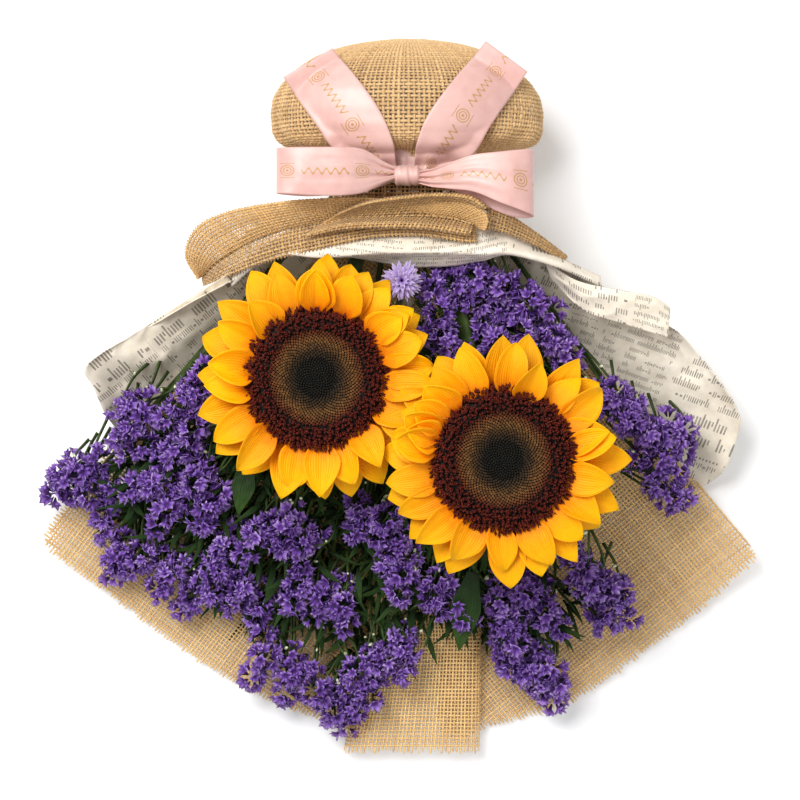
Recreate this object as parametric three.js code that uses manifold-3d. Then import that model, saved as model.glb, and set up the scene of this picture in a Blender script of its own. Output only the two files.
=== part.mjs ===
// Bunch of sunflowers in a hessian and newsprint wrap, lying flat with its blooms facing up.
// Millimetres, +Z up, stem end towards +Y, open end of the wrap towards -Y, table top at z = 0.
import * as THREE from "three";
import { mergeVertices } from "three/addons/utils/BufferGeometryUtils.js";
import Module from "manifold-3d";

// Overall size. The plan lists below are written for planSize and place() stretches them to this size.
const bunchWidth = 414;
const bunchLength = 406;
const planSize = [414, 406];

// Sunflower heads.
const headRadius = 66;
const discRadius = 39;
const headDepth = 32;
const stemRadius = 4.5;

// Neck, where every stem and every layer of the wrap is tied together, and the pouch behind it.
// Both are ellipses, lower than they are wide by depthRatio.
const neckRadius = 43;
const pouchRadius = 75;
const depthRatio = 0.64;

// Sheets.
const hessianThickness = 1.2;
const paperThickness = 0.6;
const ribbonThickness = 0.8;
const ribbonWidth = 32;
const bandWidth = 20;

// Fillers.
const stalkRadius = 1.6;
const asterRadius = 10;
const tuftScale = 1;

// The gap left between pieces that touch.
const clearance = 0.3;

// Radii of the layers of the wrap at the neck, from the ribbon band inwards.
const bandInside = neckRadius - ribbonThickness;
const sleeveRadius = bandInside - 1.7;
const outerCollarRadius = sleeveRadius - 0.5;
const innerCollarRadius = outerCollarRadius - hessianThickness - 1.3;
const paperRadius = innerCollarRadius - hessianThickness - 2.3;
const backPaperRadius = paperRadius - 2;
const fanRadius = backPaperRadius - 4;

// The neck and the pouch share one axis, as high as lets the pouch rest on the table.
const axisHeight = pouchRadius * depthRatio;
const axisX = 4;
const neckY = 116;
const bandY = neckY + 3;
const bandTop = axisHeight + neckRadius * depthRatio;

const wasm = await Module();
wasm.setup();
const bunch = new THREE.Group();
const taken = [];

const place = (x, y, z = 0) =>
  new THREE.Vector3((x * bunchWidth) / planSize[0], (y * bunchLength) / planSize[1], z);

const colours = {
  hessian: 0xcfae85,
  paper: 0xdbd3c6,
  ribbon: 0xf2cfcb,
  petal: 0xfabd01,
  disc: 0x4f2012,
  stem: 0x4d5a24,
  leaf: 0x383c08,
  statice: 0x6d4899,
  aster: 0xbb9ec8,
  wet: 0xd9dccb,
};

// Turns a three.js geometry into a closed solid.
function solidOf(geometry) {
  const bare = new THREE.BufferGeometry();
  bare.setAttribute("position", geometry.getAttribute("position").clone());
  if (geometry.index) bare.setIndex(geometry.index.clone());
  const merged = mergeVertices(bare, 1e-3);
  const indices = [];
  const old = merged.index.array;
  for (let i = 0; i < old.length; i += 3) {
    const [a, b, c] = [old[i], old[i + 1], old[i + 2]];
    if (a !== b && b !== c && a !== c) indices.push(a, b, c);
  }
  const mesh = new wasm.Mesh({
    numProp: 3,
    vertProperties: new Float32Array(merged.attributes.position.array),
    triVerts: new Uint32Array(indices),
  });
  return new wasm.Manifold(mesh);
}

// Turns a solid back into a three.js geometry.
function geometryOf(solid) {
  const mesh = solid.getMesh();
  const geometry = new THREE.BufferGeometry();
  geometry.setAttribute("position", new THREE.BufferAttribute(mesh.vertProperties, 3));
  geometry.setIndex(new THREE.BufferAttribute(mesh.triVerts, 1));
  geometry.computeVertexNormals();
  return geometry;
}

function joined(solids) {
  return solids.reduce((all, next) => all.add(next));
}

function biggest(solid) {
  return solid.decompose().reduce((a, b) => (b.volume() > a.volume() ? b : a));
}

function boxesMeet(a, b) {
  const p = a.boundingBox();
  const q = b.boundingBox();
  return [0, 1, 2].every((i) => p.min[i] < q.max[i] && q.min[i] < p.max[i]);
}

// Adds one named piece. make(grow) builds its solid, grown by that many millimetres all round.
// Each piece gives way to the ones added before it, with the clearance between them.
function addPiece(name, colour, make, look = {}) {
  let solid = make(0);
  for (const earlier of taken) {
    if (boxesMeet(solid, earlier)) solid = solid.subtract(earlier);
  }
  solid = biggest(solidOf(geometryOf(biggest(solid))));
  taken.push(make(clearance));
  const material = new THREE.MeshStandardMaterial({ color: colour, roughness: 0.9, metalness: 0, ...look });
  const mesh = new THREE.Mesh(geometryOf(solid), material);
  mesh.name = name;
  bunch.add(mesh);
}

// A value read from a list of [key, value] pairs, straight between the keys.
function lookUp(table, key) {
  if (key <= table[0][0]) return table[0][1];
  for (let i = 1; i < table.length; i++) {
    const [k0, v0] = table[i - 1];
    const [k1, v1] = table[i];
    if (key <= k1) return v0 + ((v1 - v0) * (key - k0)) / (k1 - k0);
  }
  return table[table.length - 1][1];
}

// Evenly spaced points on a smooth curve through a list of points.
function rail(points, count) {
  return new THREE.CatmullRomCurve3(points, false, "centripetal").getSpacedPoints(count - 1);
}

// A closed thin sheet over a grid of points, half its thickness on each side of them.
function sheet(grid, thickness, grow = 0, floor = -Infinity) {
  const rows = grid.length;
  const columns = grid[0].length;
  const at = (i, j) => {
    const row = grid[Math.min(Math.max(i, 0), rows - 1)];
    return row[Math.min(Math.max(j, 0), columns - 1)];
  };
  const positions = [];
  for (const side of [1, -1]) {
    for (let i = 0; i < rows; i++) {
      for (let j = 0; j < columns; j++) {
        const along = at(i + 1, j).clone().sub(at(i - 1, j));
        const across = at(i, j + 1).clone().sub(at(i, j - 1));
        const normal = across.clone().cross(along).normalize();
        const p = at(i, j).clone();
        if (i === 0) p.addScaledVector(along.clone().normalize(), -grow);
        if (i === rows - 1) p.addScaledVector(along.clone().normalize(), grow);
        if (j === 0) p.addScaledVector(across.clone().normalize(), -grow);
        if (j === columns - 1) p.addScaledVector(across.clone().normalize(), grow);
        p.addScaledVector(normal, side * (thickness / 2 + grow));
        positions.push(p.x, p.y, Math.max(p.z, floor));
      }
    }
  }
  const indices = [];
  const back = rows * columns;
  const quad = (a, b, c, d) => indices.push(a, b, c, a, c, d);
  const id = (i, j) => i * columns + j;
  for (let i = 0; i < rows - 1; i++) {
    for (let j = 0; j < columns - 1; j++) {
      const corners = [id(i, j), id(i, j + 1), id(i + 1, j + 1), id(i + 1, j)];
      quad(...corners);
      indices.push(corners[0] + back, corners[2] + back, corners[1] + back);
      indices.push(corners[0] + back, corners[3] + back, corners[2] + back);
    }
  }
  const rim = [];
  for (let j = 0; j < columns - 1; j++) rim.push(id(0, j));
  for (let i = 0; i < rows - 1; i++) rim.push(id(i, columns - 1));
  for (let j = columns - 1; j > 0; j--) rim.push(id(rows - 1, j));
  for (let i = rows - 1; i > 0; i--) rim.push(id(i, 0));
  rim.forEach((a, k) => {
    const b = rim[(k + 1) % rim.length];
    quad(a, a + back, b + back, b);
  });
  const geometry = new THREE.BufferGeometry();
  geometry.setAttribute("position", new THREE.Float32BufferAttribute(positions, 3));
  geometry.setIndex(indices);
  const solid = solidOf(geometry);
  return solid.volume() < 0 ? solidOf(flipped(geometry)) : solid;
}

function flipped(geometry) {
  const index = geometry.index.array.slice();
  for (let i = 0; i < index.length; i += 3) [index[i], index[i + 1]] = [index[i + 1], index[i]];
  return geometry.clone().setIndex(Array.from(index));
}

// A grid of points between two or more rails, each resampled to the same number of columns.
function loft(rails, rows, columns) {
  const sampled = rails.map((points) => rail(points, columns));
  const lines = sampled[0].map((_, j) => rail(sampled.map((line) => line[j]), rows));
  return Array.from({ length: rows }, (_, i) => lines.map((line) => line[i]));
}

// A round rod along a smooth curve, capped at both ends.
function rod(points, radius, sides, steps) {
  const outline = new THREE.Shape();
  for (let k = 0; k < sides; k++) {
    const angle = (2 * Math.PI * k) / sides;
    const [x, y] = [radius * Math.cos(angle), radius * Math.sin(angle)];
    if (k) outline.lineTo(x, y);
    else outline.moveTo(x, y);
  }
  outline.closePath();
  const extrudePath = new THREE.CatmullRomCurve3(points, false, "centripetal");
  return solidOf(new THREE.ExtrudeGeometry(outline, { steps, bevelEnabled: false, extrudePath }));
}

// A turned solid around the vertical axis, moved to a centre.
function turned(profile, segments, centre) {
  const points = profile.map(([r, z]) => new THREE.Vector2(r, z));
  const geometry = new THREE.LatheGeometry(points, segments).rotateX(Math.PI / 2);
  geometry.translate(centre.x, centre.y, centre.z);
  const solid = solidOf(geometry);
  return solid.volume() < 0 ? solidOf(flipped(geometry)) : solid;
}

// A squashed ball.
function lump(centre, radii, turn = 0) {
  const geometry = new THREE.SphereGeometry(1, 6, 4).rotateX(Math.PI / 2);
  geometry.scale(...radii).rotateZ(turn).translate(centre.x, centre.y, centre.z);
  return solidOf(geometry);
}

// ---- Shape of the wrap under the flowers ----

const neckDrop = sleeveRadius * depthRatio + 0.1;
// Half width of the trough, its height at the sides, and the height of its bottom, by distance from the neck.
const troughHalf = [[0, backPaperRadius + 4], [32, 74], [46, 92], [96, 150], [160, 196], [330, 235]];
const leftRise = [[0, neckDrop], [32, 42], [46, 48], [96, 40], [125, 24], [170, 9], [330, 2]];
const rightRise = [[0, neckDrop], [32, 42], [60, 44], [96, 34], [125, 22], [170, 10], [330, 4]];
const troughFloor = [[0, axisHeight - neckDrop], [14, 14], [34, 5.5], [60, 0], [330, 0]];

function troughHeight(x, y) {
  const away = neckY - y;
  const share = Math.abs(x) / lookUp(troughHalf, away);
  const profile = share < 1 ? share ** 3 : 1 + 0.8 * (share - 1);
  return lookUp(troughFloor, away) + lookUp(x < 0 ? leftRise : rightRise, away) * profile;
}

// A point of a layer of the wrap, a set distance above the trough.
function layerPoint(x, y, above, lift = 0) {
  const step = 2;
  const dx = (troughHeight(x + step, y) - troughHeight(x - step, y)) / (2 * step);
  const dy = (troughHeight(x, y + step) - troughHeight(x, y - step)) / (2 * step);
  const normal = new THREE.Vector3(-dx, -dy, 1).normalize();
  const p = new THREE.Vector3(x, y, troughHeight(x, y)).addScaledVector(normal, above);
  return place(p.x, p.y, p.z + lift);
}

// A layer between the neck and an outer edge drawn in plan.
function wrapLayer(edge, rootHalf, above, rows, columns, lift = () => 0) {
  const outer = rail(edge.map(([x, y]) => new THREE.Vector3(x, y, 0)), columns);
  const grid = [];
  for (let i = 0; i < rows; i++) {
    const t = i / (rows - 1);
    grid.push(
      outer.map((end, j) => {
        const rootX = rootHalf * (2 * (j / (columns - 1)) - 1);
        const x = rootX + (end.x - rootX) * t;
        const y = neckY + (end.y - neckY) * t;
        return layerPoint(x, y, above, lift(x, y));
      }),
    );
  }
  return grid;
}

// ---- Outer wrap: pouch round the stem ends, newsprint and hessian under the flowers ----

const pouchProfile = [
  [neckY + 2, sleeveRadius],
  [bandY + bandWidth + 1.5, sleeveRadius + 1],
  [144, 0.8 * pouchRadius],
  [149, 0.94 * pouchRadius],
  [160, pouchRadius],
  [170, 0.98 * pouchRadius],
  [178, 0.92 * pouchRadius],
  [186, 0.81 * pouchRadius],
  [193, 0.66 * pouchRadius],
  [199, 0.44 * pouchRadius],
  [202, 0.26 * pouchRadius],
  [203, 0],
];

function pouchTop(x, y) {
  const r = lookUp(pouchProfile, y);
  return axisHeight + depthRatio * Math.sqrt(Math.max(r * r - (x - axisX) ** 2, 0));
}

addPiece("burlap_pouch", colours.hessian, (grow) => {
  const wall = hessianThickness + grow;
  const outer = pouchProfile.map(([y, r]) => [r > 0 ? r + grow : 0, y]);
  const inner = pouchProfile.map(([y, r]) => [Math.max(r - wall, 0), y - (y > 190 ? wall : 0)]);
  outer[0][1] -= grow;
  inner[0][1] -= grow;
  outer[outer.length - 1][1] += grow;
  const path = [...inner.reverse().filter(([r], i) => r > 0 || i === 0), ...outer];
  const points = path.map(([r, y]) => new THREE.Vector2(r, y));
  const geometry = new THREE.LatheGeometry(points, 20).scale(1, 1, depthRatio);
  geometry.scale(bunchWidth / planSize[0], bunchLength / planSize[1], 1);
  geometry.translate(place(axisX, 0).x, 0, axisHeight);
  const solid = solidOf(geometry);
  return solid.volume() < 0 ? solidOf(flipped(geometry.toNonIndexed())) : solid;
});

const paperEdge = [
  [-88, 70], [-132, 46], [-174, 21], [-172, 6], [-160, -20], [-130, -45], [-60, -90], [0, -104],
  [60, -92], [130, -62], [178, -48], [192, -20], [190, -3], [168, 26], [148, 43], [92, 66],
];
addPiece("newsprint_back_sheet", colours.paper, (grow) =>
  sheet(wrapLayer(paperEdge, backPaperRadius, paperThickness / 2, 8, 30), paperThickness, grow, 0));

// The inner hessian fans out to the open end, with a raised box pleat in the middle.
const fanEdge = [
  [-82, 46], [-134, 9], [-167, -26], [-187, -51], [-206, -80], [-170, -112], [-130, -143], [-84, -171],
  [-40, -188], [-33, -202], [6, -202], [46, -202], [50, -190], [94, -178], [140, -148], [175, -121],
  [206, -88], [194, -70], [168, -39], [120, 16], [82, 46],
];
const fanAbove = paperThickness + hessianThickness / 2 + 1.2;
const pleatHeight = 9;
function fanLift(x, y) {
  const side = Math.min(Math.max((x + 36) / 8, 0), 1) * Math.min(Math.max((50 - x) / 8, 0), 1);
  const fade = Math.min(Math.max((-y - 70) / 70, 0), 1);
  const curl = Math.min(Math.max((x - 178) / 30, 0), 1);
  return pleatHeight * side * fade + 12 * curl ** 2;
}
addPiece("burlap_inner_fan", colours.hessian, (grow) =>
  sheet(wrapLayer(fanEdge, fanRadius, fanAbove, 9, 46, fanLift), hessianThickness, grow, 0));

// ---- Wrap over the top of the neck ----

// Points round the upper half of the neck, from its left side over the top to its right side.
function neckArch(y, half, from = 178, to = 2) {
  return Array.from({ length: 7 }, (_, k) => {
    const angle = THREE.MathUtils.degToRad(from + ((to - from) * k) / 6);
    const height = axisHeight + half * depthRatio * Math.sin(angle);
    return place(axisX + half * Math.cos(angle), y, height);
  });
}
// Free edges of the wrap over the neck: [x, y, height above the top of the band].
const rimOf = (list) => list.map(([x, y, above]) => place(x, y, bandTop + above));

const frontPaperRim = rimOf([
  [-92, 66, -19], [-66, 78, -1], [-48, 76, 9], [0, 72, 13], [42, 73, 13], [60, 79, 9], [88, 73, -1], [112, 62, -15],
]);
const innerCollarRim = rimOf([
  [-112, 70, -31], [-90, 74, -9], [-45, 84, 13], [-15, 92, 16], [35, 88, 16], [60, 85, 11], [88, 76, -1],
]);
const outerCollarRim = rimOf([
  [-106, 82, -33], [-122, 88, -23], [-110, 105, -11], [-79, 110, 9], [-32, 111, 16], [-5, 108, 9], [32, 112, 17],
  [50, 104, 21], [72, 93, 13], [92, 82, -3],
]);
addPiece("newsprint_front_fold", colours.paper, (grow) =>
  sheet(loft([neckArch(neckY - 4, paperRadius), frontPaperRim], 5, 18), paperThickness, grow));
addPiece("burlap_collar_inner", colours.hessian, (grow) =>
  sheet(loft([neckArch(neckY - 1, innerCollarRadius), innerCollarRim], 5, 20), hessianThickness, grow));
addPiece("burlap_collar_outer", colours.hessian, (grow) =>
  sheet(loft([neckArch(neckY + 0.5, outerCollarRadius), outerCollarRim], 5, 24), hessianThickness, grow));
addPiece("newsprint_right_flap", colours.paper, (grow) => {
  const near = rimOf([[98, 60, -11], [120, 60, -10], [145, 55, -9]]);
  const far = rimOf([[104, 44, -17], [122, 42, -15], [142, 37, -13]]);
  return sheet(loft([near, far], 4, 6), paperThickness, grow);
});

// ---- Ribbon bow round the neck ----

addPiece("ribbon_band", colours.ribbon, (grow) => {
  const [inside, outside] = [bandInside - grow, neckRadius + grow];
  const [low, high] = [bandY - grow, bandY + bandWidth + grow];
  const path = [[inside, low], [outside, low], [outside, high], [inside, high], [inside, low]];
  const points = path.map(([r, y]) => new THREE.Vector2(r, y));
  const geometry = new THREE.LatheGeometry(points, 20).scale(1, 1, depthRatio);
  geometry.scale(bunchWidth / planSize[0], bunchLength / planSize[1], 1);
  geometry.translate(place(axisX, 0).x, 0, axisHeight);
  const solid = solidOf(geometry);
  return solid.volume() < 0 ? solidOf(flipped(geometry.toNonIndexed())) : solid;
}, { roughness: 0.4 });
const knotHeight = bandTop + 8.5;
addPiece("ribbon_knot", colours.ribbon, (grow) =>
  lump(place(axisX, 124, knotHeight), [10 + grow, 7.5 + grow, 8 + grow]), { roughness: 0.4 });

// A loop leaves the knot low, turns back at its far end and returns to the knot on top.
// Its course lists [distance out, height above the knot, share of the ribbon's width seen from above].
function ribbonLoop(side, middle, grow) {
  const course = [
    [8, -2, 0.3], [30, 11, 0.7], [56, 16, 0.88], [66, 23, 0.88], [56, 30, 0.88], [30, 27, 0.7], [8, 5, 0.3],
  ];
  const edge = (sign) =>
    course.map(([out, above, share]) => {
      const y = lookUp(middle, out) + (sign * share * ribbonWidth) / 2;
      return place(axisX + side * out, y, knotHeight + above);
    });
  return sheet(loft([edge(1), edge(-1)], 3, 16), ribbonThickness, grow);
}
addPiece("ribbon_loop_left", colours.ribbon, (grow) =>
  ribbonLoop(-1, [[10, 124], [66, 125]], grow), { roughness: 0.4 });
addPiece("ribbon_loop_right", colours.ribbon, (grow) =>
  ribbonLoop(1, [[10, 123], [66, 118]], grow), { roughness: 0.4 });

// A tail lies over the pouch and ends in a straight cut.
function ribbonTail(leftEdge, rightEdge, grow) {
  const middle = leftEdge.map(([x, y], k) => [(x + rightEdge[k][0]) / 2, (y + rightEdge[k][1]) / 2]);
  const raised = (list) =>
    list.map(([x, y], k) => place(x, y, k === 0 ? knotHeight + 4 : Math.max(pouchTop(x, y), 66) + 5.5));
  const grid = loft([raised(leftEdge), raised(middle), raised(rightEdge)], 4, 9);
  return sheet(grid, ribbonThickness, grow);
}
addPiece("ribbon_tail_left", colours.ribbon, (grow) =>
  ribbonTail([[-10, 132], [-28, 142], [-47, 160], [-64, 177]], [[0, 137], [-7, 152], [-21, 173], [-37, 193]], grow),
  { roughness: 0.4 });
addPiece("ribbon_tail_right", colours.ribbon, (grow) =>
  ribbonTail([[7, 137], [17, 152], [31, 174], [47, 197]], [[18, 132], [36, 142], [54, 162], [70, 181]], grow),
  { roughness: 0.4 });

// ---- Sunflowers ----

// One row of ray petals, joined by the thin ring they grow from.
function rayRow(centre, z, count, reach, slope, phase, grow) {
  const ringOut = discRadius - 3 + grow;
  const ringIn = discRadius - 9 - grow;
  const ring = turned(
    [[ringIn, -0.6 - grow], [ringOut, -0.6 - grow], [ringOut, 0.6 + grow], [ringIn, 0.6 + grow], [ringIn, -0.6 - grow]],
    count,
    new THREE.Vector3(centre.x, centre.y, z),
  );
  const petals = [];
  for (let k = 0; k < count; k++) {
    const angle = (2 * Math.PI * (k + phase)) / count;
    const length = reach - ((k * 7) % 5) * 1.2;
    const stations = [[discRadius - 5, 4.2, 0], [0.5 * (discRadius + length), 7.4, 1.6], [length, 0.9, 0.4]];
    const grid = [1, -1].map((side) =>
      stations.map(([r, half, cup]) => {
        const rise = slope * (r - discRadius) + (side ? cup : 0);
        const p = new THREE.Vector3(r, side * half, rise);
        return p.applyAxisAngle(new THREE.Vector3(0, 0, 1), angle).add(new THREE.Vector3(centre.x, centre.y, z));
      }),
    );
    petals.push(sheet(grid, 1, grow));
  }
  return joined([ring, ...petals]);
}

function addSunflower(name, centre, faceZ) {
  const at = (z) => new THREE.Vector3(centre.x, centre.y, z);
  addPiece(name + "_disc", colours.disc, (grow) =>
    turned([
      [0, -10 - grow], [discRadius - 6, -10 - grow], [discRadius + grow, -4], [discRadius - 3, 0 + grow],
      [0.62 * discRadius, -1.5 + grow], [0.3 * discRadius, -3 + grow], [0, -3.4 + grow],
    ], 24, at(faceZ)));
  addPiece(name + "_ray_inner", colours.petal, (grow) =>
    rayRow(centre, faceZ - 11.6, 18, headRadius - 6, 0.12, 0.5, grow), { roughness: 0.6 });
  addPiece(name + "_ray_outer", colours.petal, (grow) =>
    rayRow(centre, faceZ - 15, 20, headRadius, 0.02, 0, grow), { roughness: 0.6 });
  addPiece(name + "_calyx", colours.leaf, (grow) =>
    turned([
      [0, -headDepth - grow], [8 + grow, -headDepth - grow], [22 + grow, -25 - grow], [discRadius - 6 + grow, -18.5],
      [discRadius - 7 + grow, -16.4 + grow], [0, -16.4 + grow],
    ], 18, at(faceZ)));
}
const heads = [
  { name: "sunflower_2", centre: place(55, -32), faceZ: 124 },
  { name: "sunflower_1", centre: place(-45, 12), faceZ: 112 },
];
for (const head of heads) addSunflower(head.name, head.centre, head.faceZ);

// ---- Stems, spreading from the neck without crossing ----

// How far the stems have spread at y, sideways and in height, and the height of their middle line.
const neckSpread = fanRadius / 122;
const neckRise = (fanRadius * depthRatio) / 30;
const spreadX = [[-160, 1.72], [-20, 1], [neckY + 4, neckSpread], [200, neckSpread]];
const spreadZ = [[-160, 1], [-20, 1], [neckY + 4, neckRise], [200, neckRise]];
const middleZ = [[-160, 34], [-20, 34], [neckY + 4, axisHeight], [200, axisHeight]];

// Stems keep at least this far above the outside of the wrap.
const wrapDepth = 7.5;

function stemPoint(end, y) {
  const x = ((end[0] - axisX) * lookUp(spreadX, y)) / lookUp(spreadX, end[1]) + axisX;
  const up = (end[2] - lookUp(middleZ, end[1])) / lookUp(spreadZ, end[1]);
  const z = lookUp(middleZ, y) + up * lookUp(spreadZ, y);
  const wrapTop = y < neckY ? troughHeight(x, y) + wrapDepth : 0;
  return place(x, y, Math.max(z, wrapTop));
}

// A stem from inside the pouch to its end point. With a head it then turns up to that height.
const stemFoot = 172;
function stemPath(end, topZ = 0) {
  const stations = [stemFoot, 150, 124, 100, 70, 40, 10, -20, -50, -80, -110, -140].filter((y) => y > end[1] + 12);
  const points = stations.map((y) => stemPoint(end, y));
  if (topZ) {
    const [x, y, z] = end;
    points.push(place(x, y + 5, z + 7), place(x, y, z + 20), place(x, y, topZ));
  } else {
    points.push(place(...end));
  }
  return points;
}

for (const [index, head] of heads.entries()) {
  const ends = [[55, -32, 60], [-45, 12, 58]];
  addPiece(head.name + "_stem", colours.stem, (grow) =>
    rod(stemPath(ends[index], head.faceZ - headDepth - 0.3 + grow), stemRadius + grow, 7, 16));
}

addPiece("aster_stem", colours.stem, (grow) =>
  rod([...stemPath([3, 70, 62]), place(2, 66, 76), place(1, 65, 93 - asterRadius / 2)], stalkRadius + grow, 5, 9));
addPiece("aster_bloom", colours.aster, (grow) =>
  lump(place(1, 65, 94), [asterRadius + grow, asterRadius + grow, asterRadius / 2 + grow]));

// Statice stems. Each has a main end and may have side branches [from y, end].
const staticeStems = {
  statice_stem_1: { end: [-176, -46, 20], branches: [] },
  statice_stem_2: { end: [-146, -14, 34], branches: [[20, [-116, -8, 45]]] },
  statice_stem_3: { end: [-138, -94, 16], branches: [[-30, [-120, -56, 32]]] },
  statice_stem_4: { end: [-92, -102, 20], branches: [[-30, [-66, -74, 45]]] },
  statice_stem_5: { end: [-50, -158, 14], branches: [[-60, [-42, -110, 32]]] },
  statice_stem_6: { end: [-8, -150, 22], branches: [[-40, [0, -88, 46]]] },
  statice_stem_7: { end: [74, -154, 18], branches: [[-60, [66, -114, 36]]] },
  statice_stem_8: { end: [110, -102, 30], branches: [] },
  statice_stem_9: { end: [142, -24, 32], branches: [] },
  statice_stem_10: { end: [70, 40, 56], branches: [[75, [32, 58, 58]]] },
};
for (const [name, { end, branches }] of Object.entries(staticeStems)) {
  addPiece(name, colours.stem, (grow) => {
    const main = rod(stemPath(end), stalkRadius + grow, 5, 10);
    const sides = branches.map(([fromY, tip]) => {
      const start = stemPoint(end, fromY);
      const top = place(...tip);
      const knee = start.clone().lerp(top, 0.5);
      knee.z = Math.max(start.z, top.z) - 4;
      return rod([start, knee, top], 0.8 * stalkRadius + grow, 5, 4);
    });
    return joined([main, ...sides]);
  });
}

// ---- Statice blooms: one piece per spray, a cluster of joined tufts [x, y, z, radius] ----

const sprays = [
  [[-192, -44, 27, 12], [-181, -41, 32, 13], [-176, -53, 30, 12], [-169, -66, 24, 11]],
  [[-153, -3, 44, 11], [-152, -14, 44, 11], [-146, -25, 40, 11]],
  [[-122, -3, 55, 12], [-116, -16, 54, 12], [-111, 9, 58, 10], [-125, -27, 48, 11]],
  [[-141, -48, 42, 13], [-131, -61, 40, 13], [-114, -46, 48, 13], [-108, -60, 45, 12]],
  [[-160, -91, 24, 12], [-146, -89, 27, 13], [-131, -100, 26, 13], [-119, -112, 22, 12]],
  [[-105, -98, 30, 13], [-91, -107, 28, 13], [-79, -116, 23, 11], [-99, -83, 37, 12]],
  [[-80, -75, 54, 12], [-65, -73, 58, 12], [-54, -80, 54, 11]],
  [[-56, -104, 43, 12], [-45, -111, 40, 11], [-34, -117, 39, 12]],
  [[-78, -147, 24, 13], [-62, -156, 24, 13], [-47, -165, 25, 13], [-38, -178, 21, 13]],
  [[-24, -154, 32, 13], [-9, -148, 32, 14], [3, -143, 32, 11], [-18, -169, 25, 11]],
  [[-21, -65, 62, 11], [-8, -66, 64, 12], [-4, -82, 58, 12], [2, -98, 55, 12], [17, -109, 50, 11], [31, -114, 46, 11]],
  [[56, -112, 47, 12], [70, -108, 48, 13], [82, -120, 42, 13], [62, -127, 40, 12]],
  [[101, -95, 50, 13], [115, -104, 42, 13], [126, -116, 34, 11], [113, -120, 32, 11]],
  [[61, -145, 30, 12], [72, -154, 27, 13], [84, -152, 27, 12], [82, -164, 21, 11]],
  [[121, 3, 52, 12], [128, -13, 50, 13], [143, -19, 45, 14], [159, -19, 41, 12], [145, -37, 40, 14], [151, -54, 34, 12]],
  [[28, 64, 69, 12], [42, 68, 69, 12], [22, 48, 73, 12], [26, 31, 71, 12], [42, 54, 66, 12]],
  [[58, 62, 68, 12], [72, 53, 66, 13], [66, 38, 68, 13], [85, 34, 60, 13], [92, 22, 56, 11], [54, 32, 68, 12]],
];
sprays.forEach((tufts, k) => {
  addPiece("statice_bloom_" + (k + 1), colours.statice, (grow) =>
    joined(
      tufts.map(([x, y, z, r], i) => {
        const radius = r * tuftScale + grow;
        return lump(place(x, y, z), [radius, 0.9 * radius, 0.8 * radius], i + k);
      }),
    ));
});

// ---- Leaves ----

function leafBlade(base, tip, half, grow) {
  const along = tip.clone().sub(base);
  const side = new THREE.Vector3(-along.y, along.x, 0).normalize();
  const outline = [[0, 0.12], [0.3, 0.9], [0.55, 0.85], [0.8, 0.45], [1, 0.06]];
  const grid = [-1, 0, 1].map((s) =>
    outline.map(([t, w]) => {
      const p = base.clone().addScaledVector(along, t).addScaledVector(side, s * w * half);
      p.z += Math.sin(Math.PI * t) * 4 + (s ? 1.5 * w : 0);
      return p;
    }),
  );
  return sheet(grid, 0.9, grow);
}
const leaves = {
  leaf_1: [place(42, -96, 62), place(30, -146, 34), 11],
  leaf_2: [place(-84, -36, 60), place(-92, -66, 58), 9],
};
for (const [name, [base, tip, half]] of Object.entries(leaves)) {
  addPiece(name, colours.leaf, (grow) => leafBlade(base, tip, half, grow));
}

// ---- Wet pack round the cut stem ends, inside the pouch ----

addPiece("wet_pack", colours.wet, (grow) =>
  lump(place(axisX, 168, axisHeight), [46 + grow, 22 + grow, 30 + grow]));

// The origin goes under the middle of the bunch, on the table.
const bounds = new THREE.Box3().setFromObject(bunch);
const middle = bounds.getCenter(new THREE.Vector3());
bunch.position.set(-middle.x, -middle.y, -bounds.min.z);

export default bunch;
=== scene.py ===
import math
import bpy
import numpy as np
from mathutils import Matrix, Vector


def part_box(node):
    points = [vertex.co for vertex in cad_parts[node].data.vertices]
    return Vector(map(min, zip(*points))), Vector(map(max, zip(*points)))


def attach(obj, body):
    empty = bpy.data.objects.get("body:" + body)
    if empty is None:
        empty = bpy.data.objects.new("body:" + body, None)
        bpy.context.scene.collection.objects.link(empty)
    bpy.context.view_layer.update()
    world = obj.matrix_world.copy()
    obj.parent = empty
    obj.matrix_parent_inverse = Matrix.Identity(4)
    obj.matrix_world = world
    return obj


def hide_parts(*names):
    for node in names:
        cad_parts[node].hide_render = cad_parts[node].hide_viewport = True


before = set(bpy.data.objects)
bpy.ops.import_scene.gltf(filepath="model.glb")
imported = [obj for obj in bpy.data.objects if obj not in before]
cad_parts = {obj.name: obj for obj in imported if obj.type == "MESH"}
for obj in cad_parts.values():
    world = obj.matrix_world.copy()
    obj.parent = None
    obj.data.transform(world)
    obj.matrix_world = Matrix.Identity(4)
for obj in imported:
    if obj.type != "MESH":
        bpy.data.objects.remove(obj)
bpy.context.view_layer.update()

# Lengths in this file are millimetres until addMesh turns them into metres. y runs from the flowers to the
# bow. The ribbon band's box says how far this plan lies from the part's own origin.
mm = 0.001
neckY = 116.0   # where the cloth is gathered
bandY = 129.0   # middle of the ribbon band
axisX = 4.0   # the neck and the pouch stand round this line
axisHeight = 48.0
depthRatio = 0.64   # their height over their width
bandLow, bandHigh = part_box("ribbon_band")
shift = np.array([(bandLow.x + bandHigh.x) / 2 / mm - axisX, (bandLow.y + bandHigh.y) / 2 / mm - bandY, 0.0])

# Mesh helpers.


# Each vector divided by its length.
def unit(v):
    return v / np.maximum(np.linalg.norm(v, axis=-1, keepdims=True), 1e-9)


# 3x^2 - 2x^3 of x limited to 0..1.
def smooth01(x):
    x = np.clip(x, 0, 1)
    return x * x * (3 - 2 * x)


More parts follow.
